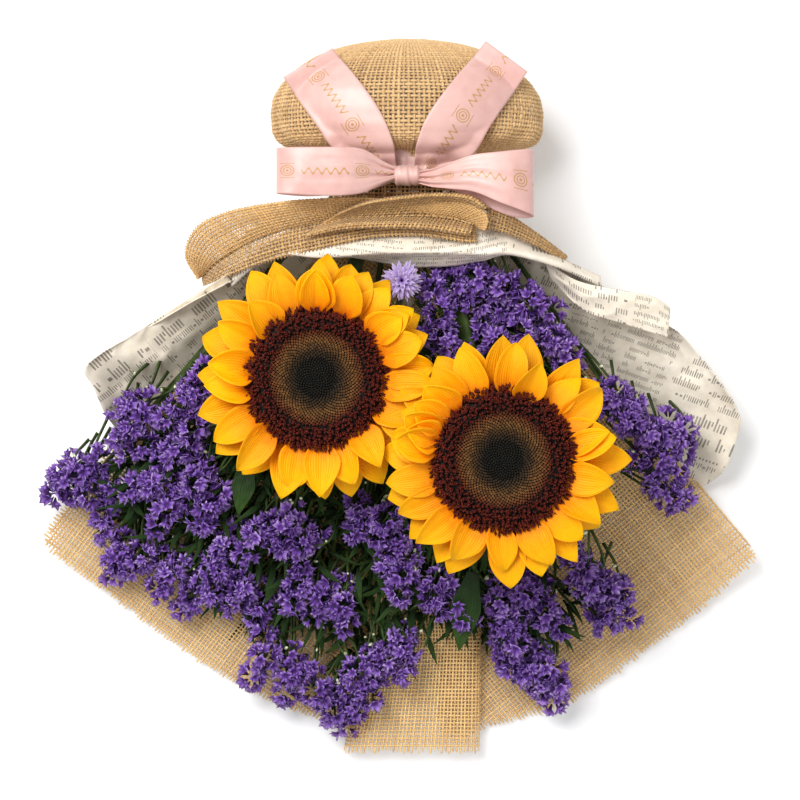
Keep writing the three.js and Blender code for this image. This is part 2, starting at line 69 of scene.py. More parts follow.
# A mesh object from arrays: points (n, 3) in millimetres, faces (m, 3 or 4), per-point attributes,
# per-corner UV maps.
def addMesh(name, points, faces, material, nodes=(), attributes=None, uvMaps=None, smooth=True):
    points = np.asarray(points, float).reshape(-1, 3)
    faces = np.asarray(faces, np.int32)
    mesh = bpy.data.meshes.new(name)
    mesh.vertices.add(len(points))
    mesh.vertices.foreach_set("co", ((points + shift) * mm).astype(np.float32).ravel())
    mesh.loops.add(faces.size)
    mesh.loops.foreach_set("vertex_index", faces.ravel())
    mesh.polygons.add(len(faces))
    mesh.polygons.foreach_set("loop_start", np.arange(0, faces.size, faces.shape[1], dtype=np.int32))
    mesh.update(calc_edges=True)
    for key, values in (attributes or {}).items():
        layer = mesh.attributes.new(key, "FLOAT", "POINT")
        layer.data.foreach_set("value", np.asarray(values, np.float32).ravel())
    for key, values in (uvMaps or {}).items():
        layer = mesh.uv_layers.new(name=key)
        layer.data.foreach_set("uv", np.asarray(values, np.float32).ravel())
    mesh.materials.append(material)
    if smooth:
        mesh.shade_smooth()
    thing = bpy.data.objects.new(name, mesh)
    bpy.context.scene.collection.objects.link(thing)
    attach(thing, "root")
    if nodes:
        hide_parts(*nodes)
    return thing


# Quads of a grid of rows x columns points, joined round its columns if closedAcross.
def gridFaces(rows, columns, closedAcross=False, start=0):
    last = columns if closedAcross else columns - 1
    i, j = np.meshgrid(np.arange(rows - 1), np.arange(last), indexing="ij")
    k = (j + 1) % columns
    quads = np.stack([i * columns + j, i * columns + k, (i + 1) * columns + k, (i + 1) * columns + j], -1)
    return quads.reshape(-1, 4) + start


# Unit normals of a grid of points: the cross product of its two central differences.
def gridNormals(grid):
    return unit(np.cross(np.gradient(grid, axis=1), np.gradient(grid, axis=0)))


# Points, faces and corner UVs of a thin closed sheet: the grid moved half a thickness both ways, and its
# rim. cloth holds each grid point's place on the flat sheet in metres.
def closedSheet(grid, thickness, cloth=None):
    rows, columns = grid.shape[:2]
    normals = gridNormals(grid)
    top = grid + normals * thickness / 2
    bottom = grid - normals * thickness / 2
    points = np.concatenate([top.reshape(-1, 3), bottom.reshape(-1, 3)])
    size = rows * columns
    upper = gridFaces(rows, columns)
    lower = upper[:, ::-1] + size
    ids = np.arange(size).reshape(rows, columns)
    rim = np.concatenate([ids[0, :-1], ids[:-1, -1], ids[-1, :0:-1], ids[:0:-1, 0]])
    after = np.roll(rim, -1)
    walls = np.stack([rim, rim + size, after + size, after], -1)
    faces = np.concatenate([upper, lower, walls])
    uv = None
    if cloth is not None:
        flat = np.concatenate([cloth.reshape(-1, 2)] * 2)
        uv = {"cloth": flat[faces.ravel()]}
    return points, faces, uv


# Evenly spaced points on a Catmull-Rom curve through a list of points.
def curve(points, count, closed=False):
    p = np.asarray(points, float)
    if closed:
        q = np.concatenate([p[-1:], p, p[:2]])
    else:
        q = np.concatenate([2 * p[:1] - p[1:2], p, 2 * p[-1:] - p[-2:-1]])
    stepsBetween = 24
    t = np.linspace(0, 1, stepsBetween, endpoint=False)[:, None]
    parts = []
    for k in range(1, len(q) - 2):
        a, b, c, d = q[k - 1], q[k], q[k + 1], q[k + 2]
        parts.append(0.5 * (2 * b + (c - a) * t + (2 * a - 5 * b + 4 * c - d) * t ** 2
                            + (3 * b - a - 3 * c + d) * t ** 3))
    dense = np.concatenate(parts + [q[-2:-1]])
    length = np.concatenate([[0], np.cumsum(np.linalg.norm(np.diff(dense, axis=0), axis=1))])
    want = np.linspace(0, length[-1], count)
    return np.stack([np.interp(want, length, dense[:, k]) for k in range(dense.shape[1])], -1)


# A grid between rails: each rail is resampled to columns points, then a smooth curve across them to rows.
def loft(rails, rows, columns):
    lines = np.stack([curve(r, columns) for r in rails])
    if len(rails) == 2:
        t = np.linspace(0, 1, rows)[:, None, None]
        return lines[0] * (1 - t) + lines[1] * t
    return np.stack([curve(lines[:, j], rows) for j in range(columns)], 1)


# Points and faces of a closed tube round a path: rings of sides points, and a cap point at each end.
def tube(path, radius, sides=8, ridges=0.0):
    path = np.asarray(path, float)
    radius = np.broadcast_to(radius, len(path))
    tangent = unit(np.gradient(path, axis=0))
    helper = np.where(np.abs(tangent[:, 2:3]) > 0.9, [[1.0, 0, 0]], [[0, 0, 1.0]])
    side = unit(np.cross(tangent, helper))
    for k in range(1, len(side)):
        side[k] = unit(side[k - 1] - tangent[k] * np.dot(side[k - 1], tangent[k]))
    up = np.cross(side, tangent)
    angle = np.linspace(0, 2 * np.pi, sides, endpoint=False)
    r = radius[:, None, None] * (1 + ridges * np.cos(3 * angle))[None, :, None]
    turned = np.cos(angle)[None, :, None] * side[:, None] + np.sin(angle)[None, :, None] * up[:, None]
    ring = path[:, None] + r * turned
    n = len(path)
    points = np.concatenate([ring.reshape(-1, 3), path[:1], path[-1:]])
    faces = gridFaces(n, sides, True)
    k = np.arange(sides)
    lastRing = (n - 1) * sides
    startCap = np.stack([np.full(sides, n * sides), (k + 1) % sides, k], -1)
    endCap = np.stack([np.full(sides, n * sides + 1), lastRing + k, lastRing + (k + 1) % sides], -1)
    return points, faces, np.concatenate([startCap, endCap])


# One (points, faces) from many, as triangles.
def merged(parts):
    points, faces, count = [], [], 0
    for item in parts:
        points.append(item[0])
        for f in item[1:]:
            f = np.asarray(f)
            if f.shape[1] == 4:
                f = np.concatenate([f[:, [0, 1, 2]], f[:, [0, 2, 3]]])
            faces.append(f + count)
        count += len(item[0])
    return np.concatenate(points), np.concatenate(faces)


# Rotation matrices whose third axis is each normal, turned about it by spin.
def frames(normals, spin):
    n = unit(normals)
    helper = np.where(np.abs(n[:, 2:3]) > 0.9, [[1.0, 0, 0]], [[0, 0, 1.0]])
    x = unit(np.cross(helper, n))
    y = np.cross(n, x)
    c, s = np.cos(spin)[:, None], np.sin(spin)[:, None]
    return np.stack([x * c + y * s, y * c - x * s, n], -1)


# Copies of one shape: each point times scale, turned and moved to its place.
def scatter(shape, faces, places, turns, scales):
    shape = shape[None] * scales[:, None, None] if np.ndim(scales) == 1 else shape[None] * scales[:, None, :]
    points = np.einsum("nij,nkj->nki", turns, shape) + places[:, None]
    index = faces[None] + (np.arange(len(places)) * shape.shape[1])[:, None, None]
    return points.reshape(-1, 3), index.reshape(-1, faces.shape[1])


# Material helpers.

# A material, its node tree and its Principled shader.
def newMaterial(name, roughness, specular=0.25):
    material = bpy.data.materials.new(name)
    material.use_nodes = True
    tree = material.node_tree
    shader = tree.nodes["Principled BSDF"]
    shader.inputs["Roughness"].default_value = roughness
    shader.inputs["Specular IOR Level"].default_value = specular
    return material, tree, shader


# The shader's colour from a node.
def paint(tree, shader, colour):
    tree.links.new(colour, shader.inputs["Base Color"])


# Light that goes a little way in: how much of it, and how far in metres for red, green and blue.
def translucent(shader, weight, reach):
    shader.inputs["Subsurface Weight"].default_value = weight
    shader.inputs["Subsurface Radius"].default_value = reach
    shader.inputs["Subsurface Scale"].default_value = 1.0


# The soft edge light of cloth.
def sheen(shader, weight, roughness):
    shader.inputs["Sheen Weight"].default_value = weight
    shader.inputs["Sheen Roughness"].default_value = roughness


# A node of that kind; values are its input sockets, and a value that is a socket gets linked.
def add(tree, kind, values=None, **settings):
    made = tree.nodes.new(kind)
    for key, value in settings.items():
        setattr(made, key, value)
    for key, value in (values or {}).items():
        if isinstance(value, bpy.types.NodeSocket):
            tree.links.new(value, made.inputs[key])
        else:
            made.inputs[key].default_value = value
    return made


# One Math node.
def calc(tree, operation, a, b=0.0, c=0.0):
    return add(tree, "ShaderNodeMath", {0: a, 1: b, 2: c}, operation=operation).outputs[0]


# a times b.
def times(tree, a, b):
    return calc(tree, "MULTIPLY", a, b)


# a plus b.
def plus(tree, a, b):
    return calc(tree, "ADD", a, b)


# a times factor, plus offset.
def scaled(tree, a, factor, offset):
    return calc(tree, "MULTIPLY_ADD", a, factor, offset)


# Colour a towards colour b by factor.
def blend(tree, factor, a, b, mode="MIX"):
    return add(tree, "ShaderNodeMix", {0: factor, 6: a, 7: b}, data_type="RGBA", blend_type=mode).outputs[2]


# A colour ramp with stops [(position, colour)].
def ramp(tree, factor, stops):
    made = add(tree, "ShaderNodeValToRGB", {0: factor})
    while len(made.color_ramp.elements) < len(stops):
        made.color_ramp.elements.new(0.5)
    for element, (position, colour) in zip(made.color_ramp.elements, stops):
        element.position = position
        element.color = colour
    return made.outputs[0]


# An sRGB 0..255 colour as linear RGBA.
def srgb(r, g, b):
    def one(v):
        v = v / 255
        return v / 12.92 if v <= 0.04045 else ((v + 0.055) / 1.055) ** 2.4
    return (one(r), one(g), one(b), 1.0)


# A per-point value stored on the mesh.
def attribute(tree, name):
    return add(tree, "ShaderNodeAttribute", attribute_name=name).outputs["Fac"]


# The point's position on the piece, in metres.
def place(tree):
    return add(tree, "ShaderNodeTexCoord").outputs["Object"]


# Fractal noise at that many cells a metre.
def noise(tree, vector, scale, detail=3.0, roughness=0.5):
    values = {"Vector": vector, "Scale": scale, "Detail": detail, "Roughness": roughness}
    return add(tree, "ShaderNodeTexNoise", values).outputs[0]


# Height in 0..1 raised by distance metres.
def bump(tree, shader, height, distance, strength=0.6):
    made = add(tree, "ShaderNodeBump", {"Height": height, "Distance": distance, "Strength": strength})
    tree.links.new(made.outputs[0], shader.inputs["Normal"])


# A shader node group with float inputs {name: default}, whose output is what build(tree, inputs) returns.
def groupOf(name, inputs, build):
    tree = bpy.data.node_groups.new(name, "ShaderNodeTree")
    for key, value in inputs.items():
        socket = tree.interface.new_socket(key, in_out="INPUT", socket_type="NodeSocketFloat")
        socket.default_value = value
    tree.interface.new_socket("Value", in_out="OUTPUT", socket_type="NodeSocketFloat")
    start = tree.nodes.new("NodeGroupInput")
    end = tree.nodes.new("NodeGroupOutput")
    tree.links.new(build(tree, start.outputs), end.inputs[0])
    return tree


# A node group placed in a material, with its inputs set or linked.
def use(tree, group, **values):
    return add(tree, "ShaderNodeGroup", values, node_tree=group).outputs[0]


# Two octaves of blotches on the piece: large at scale a metre, small at nine times that.
def buildMottle(tree, inputs):
    where = place(tree)
    large = noise(tree, where, inputs["scale"], 2.0)
    small = noise(tree, where, times(tree, inputs["scale"], 9.0), 3.0)
    both = plus(tree, times(tree, large, 0.6), times(tree, small, 0.4))
    return add(tree, "ShaderNodeMapRange", {"Value": both, "From Min": 0.35, "From Max": 0.65}).outputs[0]


mottle = groupOf("mottle", {"scale": 60.0}, buildMottle)


# Fine lines along a petal or leaf: a wave across it, broken up by noise.
def buildVeins(tree, inputs):
    wobble = times(tree, noise(tree, place(tree), 90.0, 2.0), 0.9)
    across = plus(tree, times(tree, inputs["across"], inputs["count"]), wobble)
    wave = calc(tree, "SINE", times(tree, across, 6.2832))
    return scaled(tree, wave, 0.5, 0.5)


veins = groupOf("veins", {"across": 0.0, "count": 6.0}, buildVeins)
print("helpers ready")

# Shape of the wrap.


# A smooth function through (key, value) pairs: straight lines between them, then blurred by a Gaussian
# of that width.
def table(pairs, blur=8.0):
    keys, values = (np.array(column, float) for column in zip(*pairs))
    margin, reach = 60, 24   # kept past both ends, and on both sides of a value that is blurred
    fine = np.arange(keys[0] - margin, keys[-1] + margin, 1.0)
    kernel = np.exp(-0.5 * (np.arange(-reach, reach + 1) / blur) ** 2)
    padded = np.pad(np.interp(fine, keys, values), reach, mode="edge")
    soft = np.convolve(padded, kernel / kernel.sum(), mode="valid")
    return lambda key: np.interp(key, fine, soft)


# The trough that the flowers lie in, by distance from the neck: half its width, the height of its sides
# and its floor.
trough = {
    "half": table([(0, 36), (32, 74), (46, 92), (96, 150), (160, 196), (330, 235)]),
    "left": table([(0, 26), (32, 42), (46, 48), (96, 40), (125, 24), (170, 9), (330, 2)]),
    "right": table([(0, 26), (32, 42), (60, 44), (96, 34), (125, 22), (170, 10), (330, 4)]),
    "floor": table([(0, axisHeight - 26), (14, 14), (34, 5.5), (60, 0), (330, 0)], 5.0),
    "cubic": 0.9,   # the share of the half width over which the side rises as a cube
}


# Height of the wrap's underside: its floor, plus the side's height times the cube of how far out the
# point is, and nearly straight on from there.
def troughHeight(x, y):
    away = np.maximum(neckY - y, 0)
    share = np.abs(x) / trough["half"](away)
    past = share - trough["cubic"]
    profile = np.where(past < 0, share ** 3,
                       trough["cubic"] ** 3 + past * (1.55 - 0.9 * np.clip(past, 0, 0.4)))
    left, right = trough["left"](away), trough["right"](away)
    rise = left + (right - left) * smooth01((x + 30) / 60)
    return np.maximum(trough["floor"](away), 0) + rise * profile


# Points that far above the trough along its normal, plus a lift in height.
def layer(x, y, above, lift=0.0):
    step = 1.5
    dx = (troughHeight(x + step, y) - troughHeight(x - step, y)) / (2 * step)
    dy = (troughHeight(x, y + step) - troughHeight(x, y - step)) / (2 * step)
    normal = unit(np.stack([-dx, -dy, np.ones_like(dx)], -1))
    base = np.stack([x, y, troughHeight(x, y)], -1) + normal * above
    base[..., 2] += lift
    return base


# A sum of sine waves in random directions, about -1..1, with wavelengths near size.
def waves(x, y, seed, size, count=7):
    pick = np.random.default_rng(seed)
    total = np.zeros(np.broadcast(x, y).shape)
    for _ in range(count):
        angle = pick.uniform(0, np.pi)
        length = size * pick.uniform(0.6, 1.6)
        total += np.sin((x * np.cos(angle) + y * np.sin(angle)) * 2 * np.pi / length + pick.uniform(0, 6.28))
    return total / count ** 0.5 / 1.3


# Hessian.

# Jute yarn: each yarn has its own tone, with fibres in colour and bump, and a painted highlight where it lies
# on top of the other yarns.
def hessianMaterial(name, light, dark, seed):
    material, tree, shader = newMaterial(name, 0.92)
    where = place(tree)
    tone = attribute(tree, "tone")
    fibre = noise(tree, where, 1500.0 + seed, 3.0, 0.7)
    patch = use(tree, mottle, scale=22.0)
    mixed = plus(tree, times(tree, tone, 0.55), times(tree, fibre, 0.55))
    mixed = plus(tree, mixed, scaled(tree, patch, 0.22, -0.16))
    middle = tuple((a + b) / 2 for a, b in zip(light, dark))
    colour = ramp(tree, mixed, [(0.12, dark), (0.45, middle), (0.8, light)])
    # Painted highlight: where a yarn passes over another (the crown attribute), its colour is blended 40 %
    # towards the light colour.
    paint(tree, shader, blend(tree, times(tree, attribute(tree, "crown"), 0.4), colour, light))
    sheen(shader, 0.25, 0.6)
    bump(tree, shader, fibre, 0.00035, 0.8)
    return material


hessianLight = hessianMaterial("hessianLight", srgb(254, 214, 142), srgb(200, 148, 82), 0)
hessianDeep = hessianMaterial("hessianDeep", srgb(226, 186, 128), srgb(158, 115, 66), 40)
# A darker copy of the hessian for the collar: painted shade, as the collar lies in shade.
hessianPaintedShade = hessianMaterial("hessianPaintedShade", srgb(232, 188, 120), srgb(162, 118, 66), 20)


# How far inside the outline each point is, negative outside, and the direction of its nearest edge. A
# point is inside if a line from it crosses the outline an odd number of times.
def edgeGap(x, y, outline):
    tiny = 1e-9
    startX, startY = outline.T
    step = np.roll(outline, -1, axis=0) - outline
    stepX, stepY = step.T
    awayX, awayY = x.ravel()[:, None] - startX, y.ravel()[:, None] - startY
    along = np.clip((awayX * stepX + awayY * stepY) / np.maximum((step ** 2).sum(1), tiny), 0, 1)
    gap = np.hypot(awayX - along * stepX, awayY - along * stepY)
    nearest = gap.argmin(1)
    spansIt = (awayY < 0) != (awayY < stepY)
    crosses = spansIt & (awayX < awayY / np.where(stepY == 0, tiny, stepY) * stepX)
    inside = crosses.sum(1) % 2 == 1
    distance = np.where(inside, 1, -1) * gap[np.arange(len(nearest)), nearest]
    direction = unit(step)[nearest]
    return distance.reshape(x.shape), direction.reshape(x.shape + (2,))


yarn = {
    "pitch": 2.15,    # from one yarn to the next
    "half": 0.56,     # half its width
    "high": 0.34,     # half its height
    "swing": 0.3,     # how far it goes over and under
    "jitter": 0.05,   # how far it strays sideways
    "seed": 1,
}


# Cloth of separate yarns, over and under each other. surface(a, b) gives points of the cloth; keep(a, b,
# family) says where yarns of family 0 (along a) or 1 (along b) exist. A yarn has two sections a pitch,
# three points each, and its radius falls to nothing at its ends. No material reads its UV map, which
# gives each side of a yarn a strip of its own for the export to bake into.
def weave(name, surface, spanA, spanB, keep, material, nodes, options):
    setting = {**yarn, **options}
    pitch, jitter, seed = setting["pitch"], setting["jitter"], setting["seed"]
    pick = np.random.default_rng(seed)
    countA = int((spanA[1] - spanA[0]) / pitch)
    countB = int((spanB[1] - spanB[0]) / pitch)
    nudge = 0.8   # between the two points that give the slope across the yarns
    points, faces, tones, crownHighlights, corners, total = [], [], [], [], [], 0
    for family in (0, 1):
        threads, crossings = (countB, countA) if family == 0 else (countA, countB)
        samples = 2 * crossings - 1
        i, j = np.meshgrid(np.arange(threads), np.arange(samples), indexing="ij")
        along = j * pitch / 2
        across = i * pitch + jitter * waves(along * 1.0, i * 37.0, seed + family, 30.0)
        across = across + pick.normal(0, jitter, threads)[:, None]
        a = spanA[0] + (along if family == 0 else across)
        b = spanB[0] + (across if family == 0 else along)
        valid = keep(a, b, family)
        centre = surface(a, b)
        if family == 0:
            other = surface(a, b + nudge) - surface(a, b - nudge)
            normal = unit(np.cross(np.gradient(centre, axis=1), other))
        else:
            other = surface(a + nudge, b) - surface(a - nudge, b)
            normal = unit(np.cross(other, np.gradient(centre, axis=1)))
        over = np.where((i + j // 2) % 2 == 0, 1.0, -1.0) * np.where(j % 2 == 0, 1.0, 0.0)
        if family == 1:
            over = -over
        centre = centre + normal * (over * setting["swing"])[..., None]
        tangent = unit(np.gradient(centre, axis=1))
        side = unit(np.cross(tangent, normal))
        ends = valid & np.roll(valid, 1, 1) & np.roll(valid, -1, 1)
        ends[:, 0] = ends[:, -1] = False
        slubs = 1 + 0.13 * waves(along * 1.0, i * 91.0, seed + 5, 9.0)
        thick = pick.uniform(0.82, 1.16, threads)[:, None] * slubs
        half = (setting["half"] * thick * ends)[..., None]
        high = (setting["high"] * thick * ends)[..., None]
        section = np.stack([centre - side * half, centre + normal * high, centre + side * half], 2)
        number = np.cumsum(valid.ravel()).reshape(valid.shape) - 1
        pairs = valid[:, :-1] & valid[:, 1:]
        first, second = number[:, :-1][pairs], number[:, 1:][pairs]
        rowOf, columnOf = i[:, :-1][pairs], j[:, :-1][pairs]
        for q in range(3):
            r = (q + 1) % 3
            faces.append(np.stack([first * 3 + q, first * 3 + r, second * 3 + r, second * 3 + q], -1) + total)
            left = (columnOf / samples + family) * 0.5
            right = ((columnOf + 1) / samples + family) * 0.5
            lower, upper = ((rowOf * 3 + q + share) / (threads * 3) for share in (0.04, 0.96))
            ring = [(left, lower), (left, upper), (right, upper), (right, lower)]
            corners.append(np.stack([np.stack(corner, -1) for corner in ring], 1))
        points.append(section[valid].reshape(-1, 3))
        tone = pick.uniform(0.15, 0.85, threads)[:, None] * np.ones(samples)[None]
        tones.append(np.repeat(tone[valid], 3))
        # The crown attribute is 1 where the yarn passes over; the material paints a highlight there.
        crownHighlights.append(np.repeat(np.maximum(over[valid], 0), 3))
        total += valid.sum() * 3
    points = np.concatenate(points)
    faces = np.concatenate(faces)
    corners = np.concatenate(corners)
    p = points[faces]
    volume = (p[:, 0] * np.cross(p[:, 1], p[:, 2])).sum() + (p[:, 0] * np.cross(p[:, 2], p[:, 3])).sum()
    if volume < 0:
        faces, corners = faces[:, ::-1], corners[:, ::-1]
    values = {"tone": np.concatenate(tones), "crown": np.concatenate(crownHighlights)}
    piece = addMesh(name, points, faces, material, nodes, values,
                    {"OFBake": corners.reshape(-1, 2)})
    print(name, len(faces) * 2, "triangles")
    return piece


fanAbove = 2.4   # the fan over the wrap's underside, which leaves room for the paper


# A flat-cut panel lying in the trough, woven along a direction in plan and clipped to its outline. Yarns
# that cross an edge steeply stand out as a fringe; those along it stop short.
def planPanel(name, outline, angle, lift, seed):
    outline = curve(list(outline) + [outline[0]], 110)[:-1]
    c, s = math.cos(math.radians(angle)), math.sin(math.radians(angle))
    a = outline[:, 0] * c + outline[:, 1] * s
    b = -outline[:, 0] * s + outline[:, 1] * c
    fringe = 3.0
    pick = np.random.default_rng(3)

    def toPlan(a, b):
        return a * c - b * s, a * s + b * c

    def surface(a, b):
        x, y = toPlan(a, b)
        return layer(x, y, fanAbove, lift(x, y))

    def keep(a, b, family):
        x, y = toPlan(a, b)
        gap, edge = edgeGap(x, y, outline)
        run = np.array([c, s] if family == 0 else [-s, c])
        parallel = np.abs(edge @ run)
        ragged = pick.uniform(-1.2, 1.2, gap.shape[0])[:, None]
        return gap > fringe * smooth01((parallel - 0.45) / 0.4) + ragged * (1 - parallel)

    panel = weave(name, surface, (a.min(), a.max()), (b.min(), b.max()), keep, hessianLight,
                  ["burlap_inner_fan"], {"seed": seed})


# Slow waves that start 60 mm above the middle.
def fanWaves(x, y, seed):
    return 1.3 * (1 + waves(x, y, seed, 90.0)) * smooth01((60 - y) / 60)


# The waves, and the corner lifted a little.
def leftLift(x, y):
    return fanWaves(x, y, 11) + 3.5 * smooth01((-x - 60) / 120) * smooth01((-x - 170) / 40)


# The waves, and the corner curling up.
def rightLift(x, y):
    return fanWaves(x, y, 12) + 12 * np.clip((x - 176) / 30, 0, 1) ** 2


fanLeftOutline = [
    (-28, 114), (-55, 78), (-82, 46), (-134, 9), (-167, -26), (-187, -51), (-206, -80), (-190, -97),
    (-170, -112),
    (-150, -128), (-130, -143), (-108, -158), (-84, -171), (-62, -180), (-40, -188), (-16, -194), (-8, -150),
    (-2, -60), (4, 40), (4, 110),
]
fanRightOutline = [
    (28, 114), (4, 108), (6, 40), (10, -60), (18, -150), (26, -196), (50, -190), (72, -185), (94, -178),
    (118, -164), (140, -148), (158, -135), (175, -121), (192, -104), (206, -88), (194, -70), (182, -54),
    (168, -39), (145, -12), (120, 16), (82, 46), (55, 80),
]
planPanel("hessian_fan_left", fanLeftOutline, -36.7, leftLift, 21)
planPanel("hessian_fan_right", fanRightOutline, 38.8, rightLift, 22)

pleat = {
    "y": [-204, -139, -60],        # from its end towards the flowers
    "half": [39.0, 33.5, 26.0],    # half its width there
    "middle": [6.5, 13.0, 12.0],   # its middle there
    "flatHalf": 34.5,              # half the width of cloth that stays flat
    "roll": 4.5,                   # radius of its rolled sides
    "high": 9.0,                   # how far it stands over the fan
    "yarnEnd": -199.5,             # the last yarn across it
    "fringeEnd": -203.5,
}


# The box pleat: flat across its middle, rolled down at both sides; a runs across, b is y.
def pleatSurface(a, b):
    half = np.interp(b, pleat["y"], pleat["half"])
    middle = np.interp(b, pleat["y"], pleat["middle"])
    flatHalf, roll = pleat["flatHalf"], pleat["roll"]
    past = np.clip((np.abs(a) - flatHalf) / roll, 0, np.pi * 0.8)
    flat = np.clip(a, -flatHalf, flatHalf) * ((half - roll) / flatHalf)
    x = middle + flat + np.sign(a) * roll * np.sin(past)
    drop = roll * (1 - np.cos(past))
    fade = smooth01((-b - 50) / 70)
    base = layer(x, b, fanAbove)
    base[..., 2] += 2.0 + (pleat["high"] - drop) * fade + 0.7 * waves(x, b, 14, 60.0)
    return base


# The pleat ends in a ragged fringe at the bottom and runs under the flowers at the top.
def pleatKeep(a, b, family):
    ragged = np.random.default_rng(5).uniform(-1.0, 1.0, a.shape[0])[:, None]
    end = pleat["fringeEnd"] + ragged if family == 1 else pleat["yarnEnd"]
    return (b > end) & (np.abs(a) < 44)


pleatCloth = weave("hessian_fan_pleat", pleatSurface, (-45, 45), (-205, -40), pleatKeep, hessianLight,
                   ["burlap_inner_fan"], {"seed": 23})

# The collar: crease at the neck, an upper lip laid back towards the bow, and a lower lip over the flowers.
crease = [
    (-113, 70, 30), (-100, 78, 50), (-74, 90, 70), (-45, 97, 80), (-10, 101, 83), (24, 100, 84),
    (40, 96, 85), (44, 92, 86),
]
upperRim = [
    (-114, 67, 34), (-124, 82, 44), (-119, 98, 55), (-104, 106, 68), (-79, 110, 82), (-50, 112, 92),
    (-20, 112, 94), (4, 110, 92),
    (30, 113, 96), (44, 107, 100), (50, 98, 100), (45, 89, 94),
]
lowerBack = [
    (-108, 76, 26), (-84, 96, 44), (-58, 108, 58), (-30, 114, 66), (4, 115, 70), (30, 112, 68),
    (42, 106, 70), (52, 100, 72),
]
lowerRim = [
    (-112, 63, 33), (-98, 65, 53), (-76, 71, 73), (-45, 78, 87), (-15, 85, 92), (10, 86, 93), (34, 83, 93),
    (46, 84, 92),
]
rightBack = [(38, 112, 66), (54, 100, 66), (72, 88, 62), (90, 78, 58)]
rightRim = [(46, 108, 90), (60, 101, 88), (76, 91, 82), (95, 78, 68)]
rightFront = [(44, 91, 88), (57, 88, 85), (72, 83, 79), (92, 75, 65)]
# A second fold lies over the first. It rises from the bow's side, curls over and ends in a frayed edge
# towards the flowers.
rollFront = [(-54, 86, 86), (-32, 90, 90), (-10, 90.5, 93), (12, 89.5, 94), (32, 87.5, 94), (39, 88, 95)]
rollCrown = [(-52, 90, 88), (-31, 95, 94), (-10, 96, 97), (12, 95.5, 98), (32, 93, 98), (42, 91, 97)]
rollValley = [(-45, 95, 87), (-28, 99.5, 89), (-8, 100.5, 88), (12, 100.5, 87), (31, 98.5, 87), (43, 95, 90)]
rollInner = [(-38, 99, 90), (-24, 104, 93), (-4, 107, 94), (14, 108, 94), (33, 106, 94), (45, 99, 93)]
rollRim = [(-34, 101, 94), (-20, 106, 99), (0, 109, 102), (20, 110.5, 104), (37, 109, 104), (48.5, 102, 100)]
rollBack = [(-35, 102, 91), (-20, 108, 95), (0, 111, 98), (20, 112.5, 99.5), (39, 111, 99.5), (51, 103, 96)]


# A surface between rails: a runs along them and b across, from the first to the last, in millimetres of
# cloth. It is read off a grid by linear steps, raised by bow in the middle, with slow waves.
def lipSurface(rails, width, length, bow, seed):
    grid = loft(rails, 30, 160)
    lastRow, lastColumn = grid.shape[0] - 1.001, grid.shape[1] - 1.001

    def surface(a, b):
        u = np.clip(a / length, 0, 1) * lastColumn
        v = np.clip(b / width, 0, 1) * lastRow
        i, j = v.astype(int), u.astype(int)
        f, g = (v - i)[..., None], (u - j)[..., None]
        points = (grid[i, j] * (1 - f) * (1 - g) + grid[i + 1, j] * f * (1 - g)
                  + grid[i, j + 1] * (1 - f) * g + grid[i + 1, j + 1] * f * g)
        points[..., 2] += bow * np.sin(np.pi * np.clip(b / width, 0, 1)) + 0.9 * waves(a, b, seed, 45.0)
        return points
    return surface


# One lip of the collar: cloth between rails, with a fringe along its last rail and its right end.
def lip(name, node, rails, options, bow=0.0):
    lengths = [np.linalg.norm(np.diff(curve(r, 80), axis=0), axis=1).sum() for r in rails]
    widths = np.linalg.norm(np.diff(loft(rails, 24, 40), axis=0), axis=2).sum(0)
    length, width = max(lengths), float(widths.max())
    pick = np.random.default_rng(9)

    def keep(a, b, family):
        ragged = pick.uniform(-1.1, 1.1, a.shape[0])[:, None]
        top, right = (width - 0.6 + ragged, length - 3.5) if family == 1 else (width - 4.4, length - 1.0)
        return (b < top) & (b > 0.5) & (a > 1.0) & (a < right)
    surface = lipSurface(rails, width, length, bow, options["seed"])
    # The collar's lips take the darker copy of the hessian, which is painted shade.
    piece = weave(name, surface, (0, length), (0, width), keep, hessianPaintedShade, [node], options)


lip("hessian_collar_upper", "burlap_collar_outer", [crease, upperRim],
    {"seed": 31, "half": 0.7, "high": 0.4}, 2.5)
lip("hessian_collar_lower", "burlap_collar_inner", [lowerBack, crease[:-1] + [(46, 96, 84)], lowerRim],
    {"seed": 32, "half": 0.7, "high": 0.4})
lip("hessian_collar_right", "burlap_collar_outer", [rightBack, rightRim, rightFront], {"seed": 33})
lip("hessian_collar_roll", "burlap_collar_outer",
    [rollBack, rollRim, rollInner, rollValley, rollCrown, rollFront],
    {"seed": 34, "half": 0.66, "high": 0.38})

neckCloth = {"radius": 40.6, "measure": 40, "gather": 0.9, "past": 20, "y": (97, 121), "flat": (0.166, 0.024)}


# Gathered cloth over the top of the neck: a runs round it, measured at a 40 mm radius, and b is y.
def neckSurface(a, b):
    angle = np.pi - a / neckCloth["measure"]
    gathers = np.sin(a * 0.9 + 0.5 * np.sin(a * 0.23)) * smooth01((b - 96) / 14)
    r = neckCloth["radius"] + neckCloth["gather"] * gathers
    return np.stack([axisX + r * np.cos(angle), b + 0 * a, axisHeight + depthRatio * r * np.sin(angle)], -1)


# Every yarn is kept whole.
def keepAll(a, b, family):
    return np.ones(a.shape, bool)


neckSpan = (-neckCloth["past"], neckCloth["measure"] * np.pi + neckCloth["past"])
neck = weave("hessian_neck", neckSurface, neckSpan, neckCloth["y"], keepAll, hessianDeep,
             ["burlap_collar_inner"], {"seed": 35})

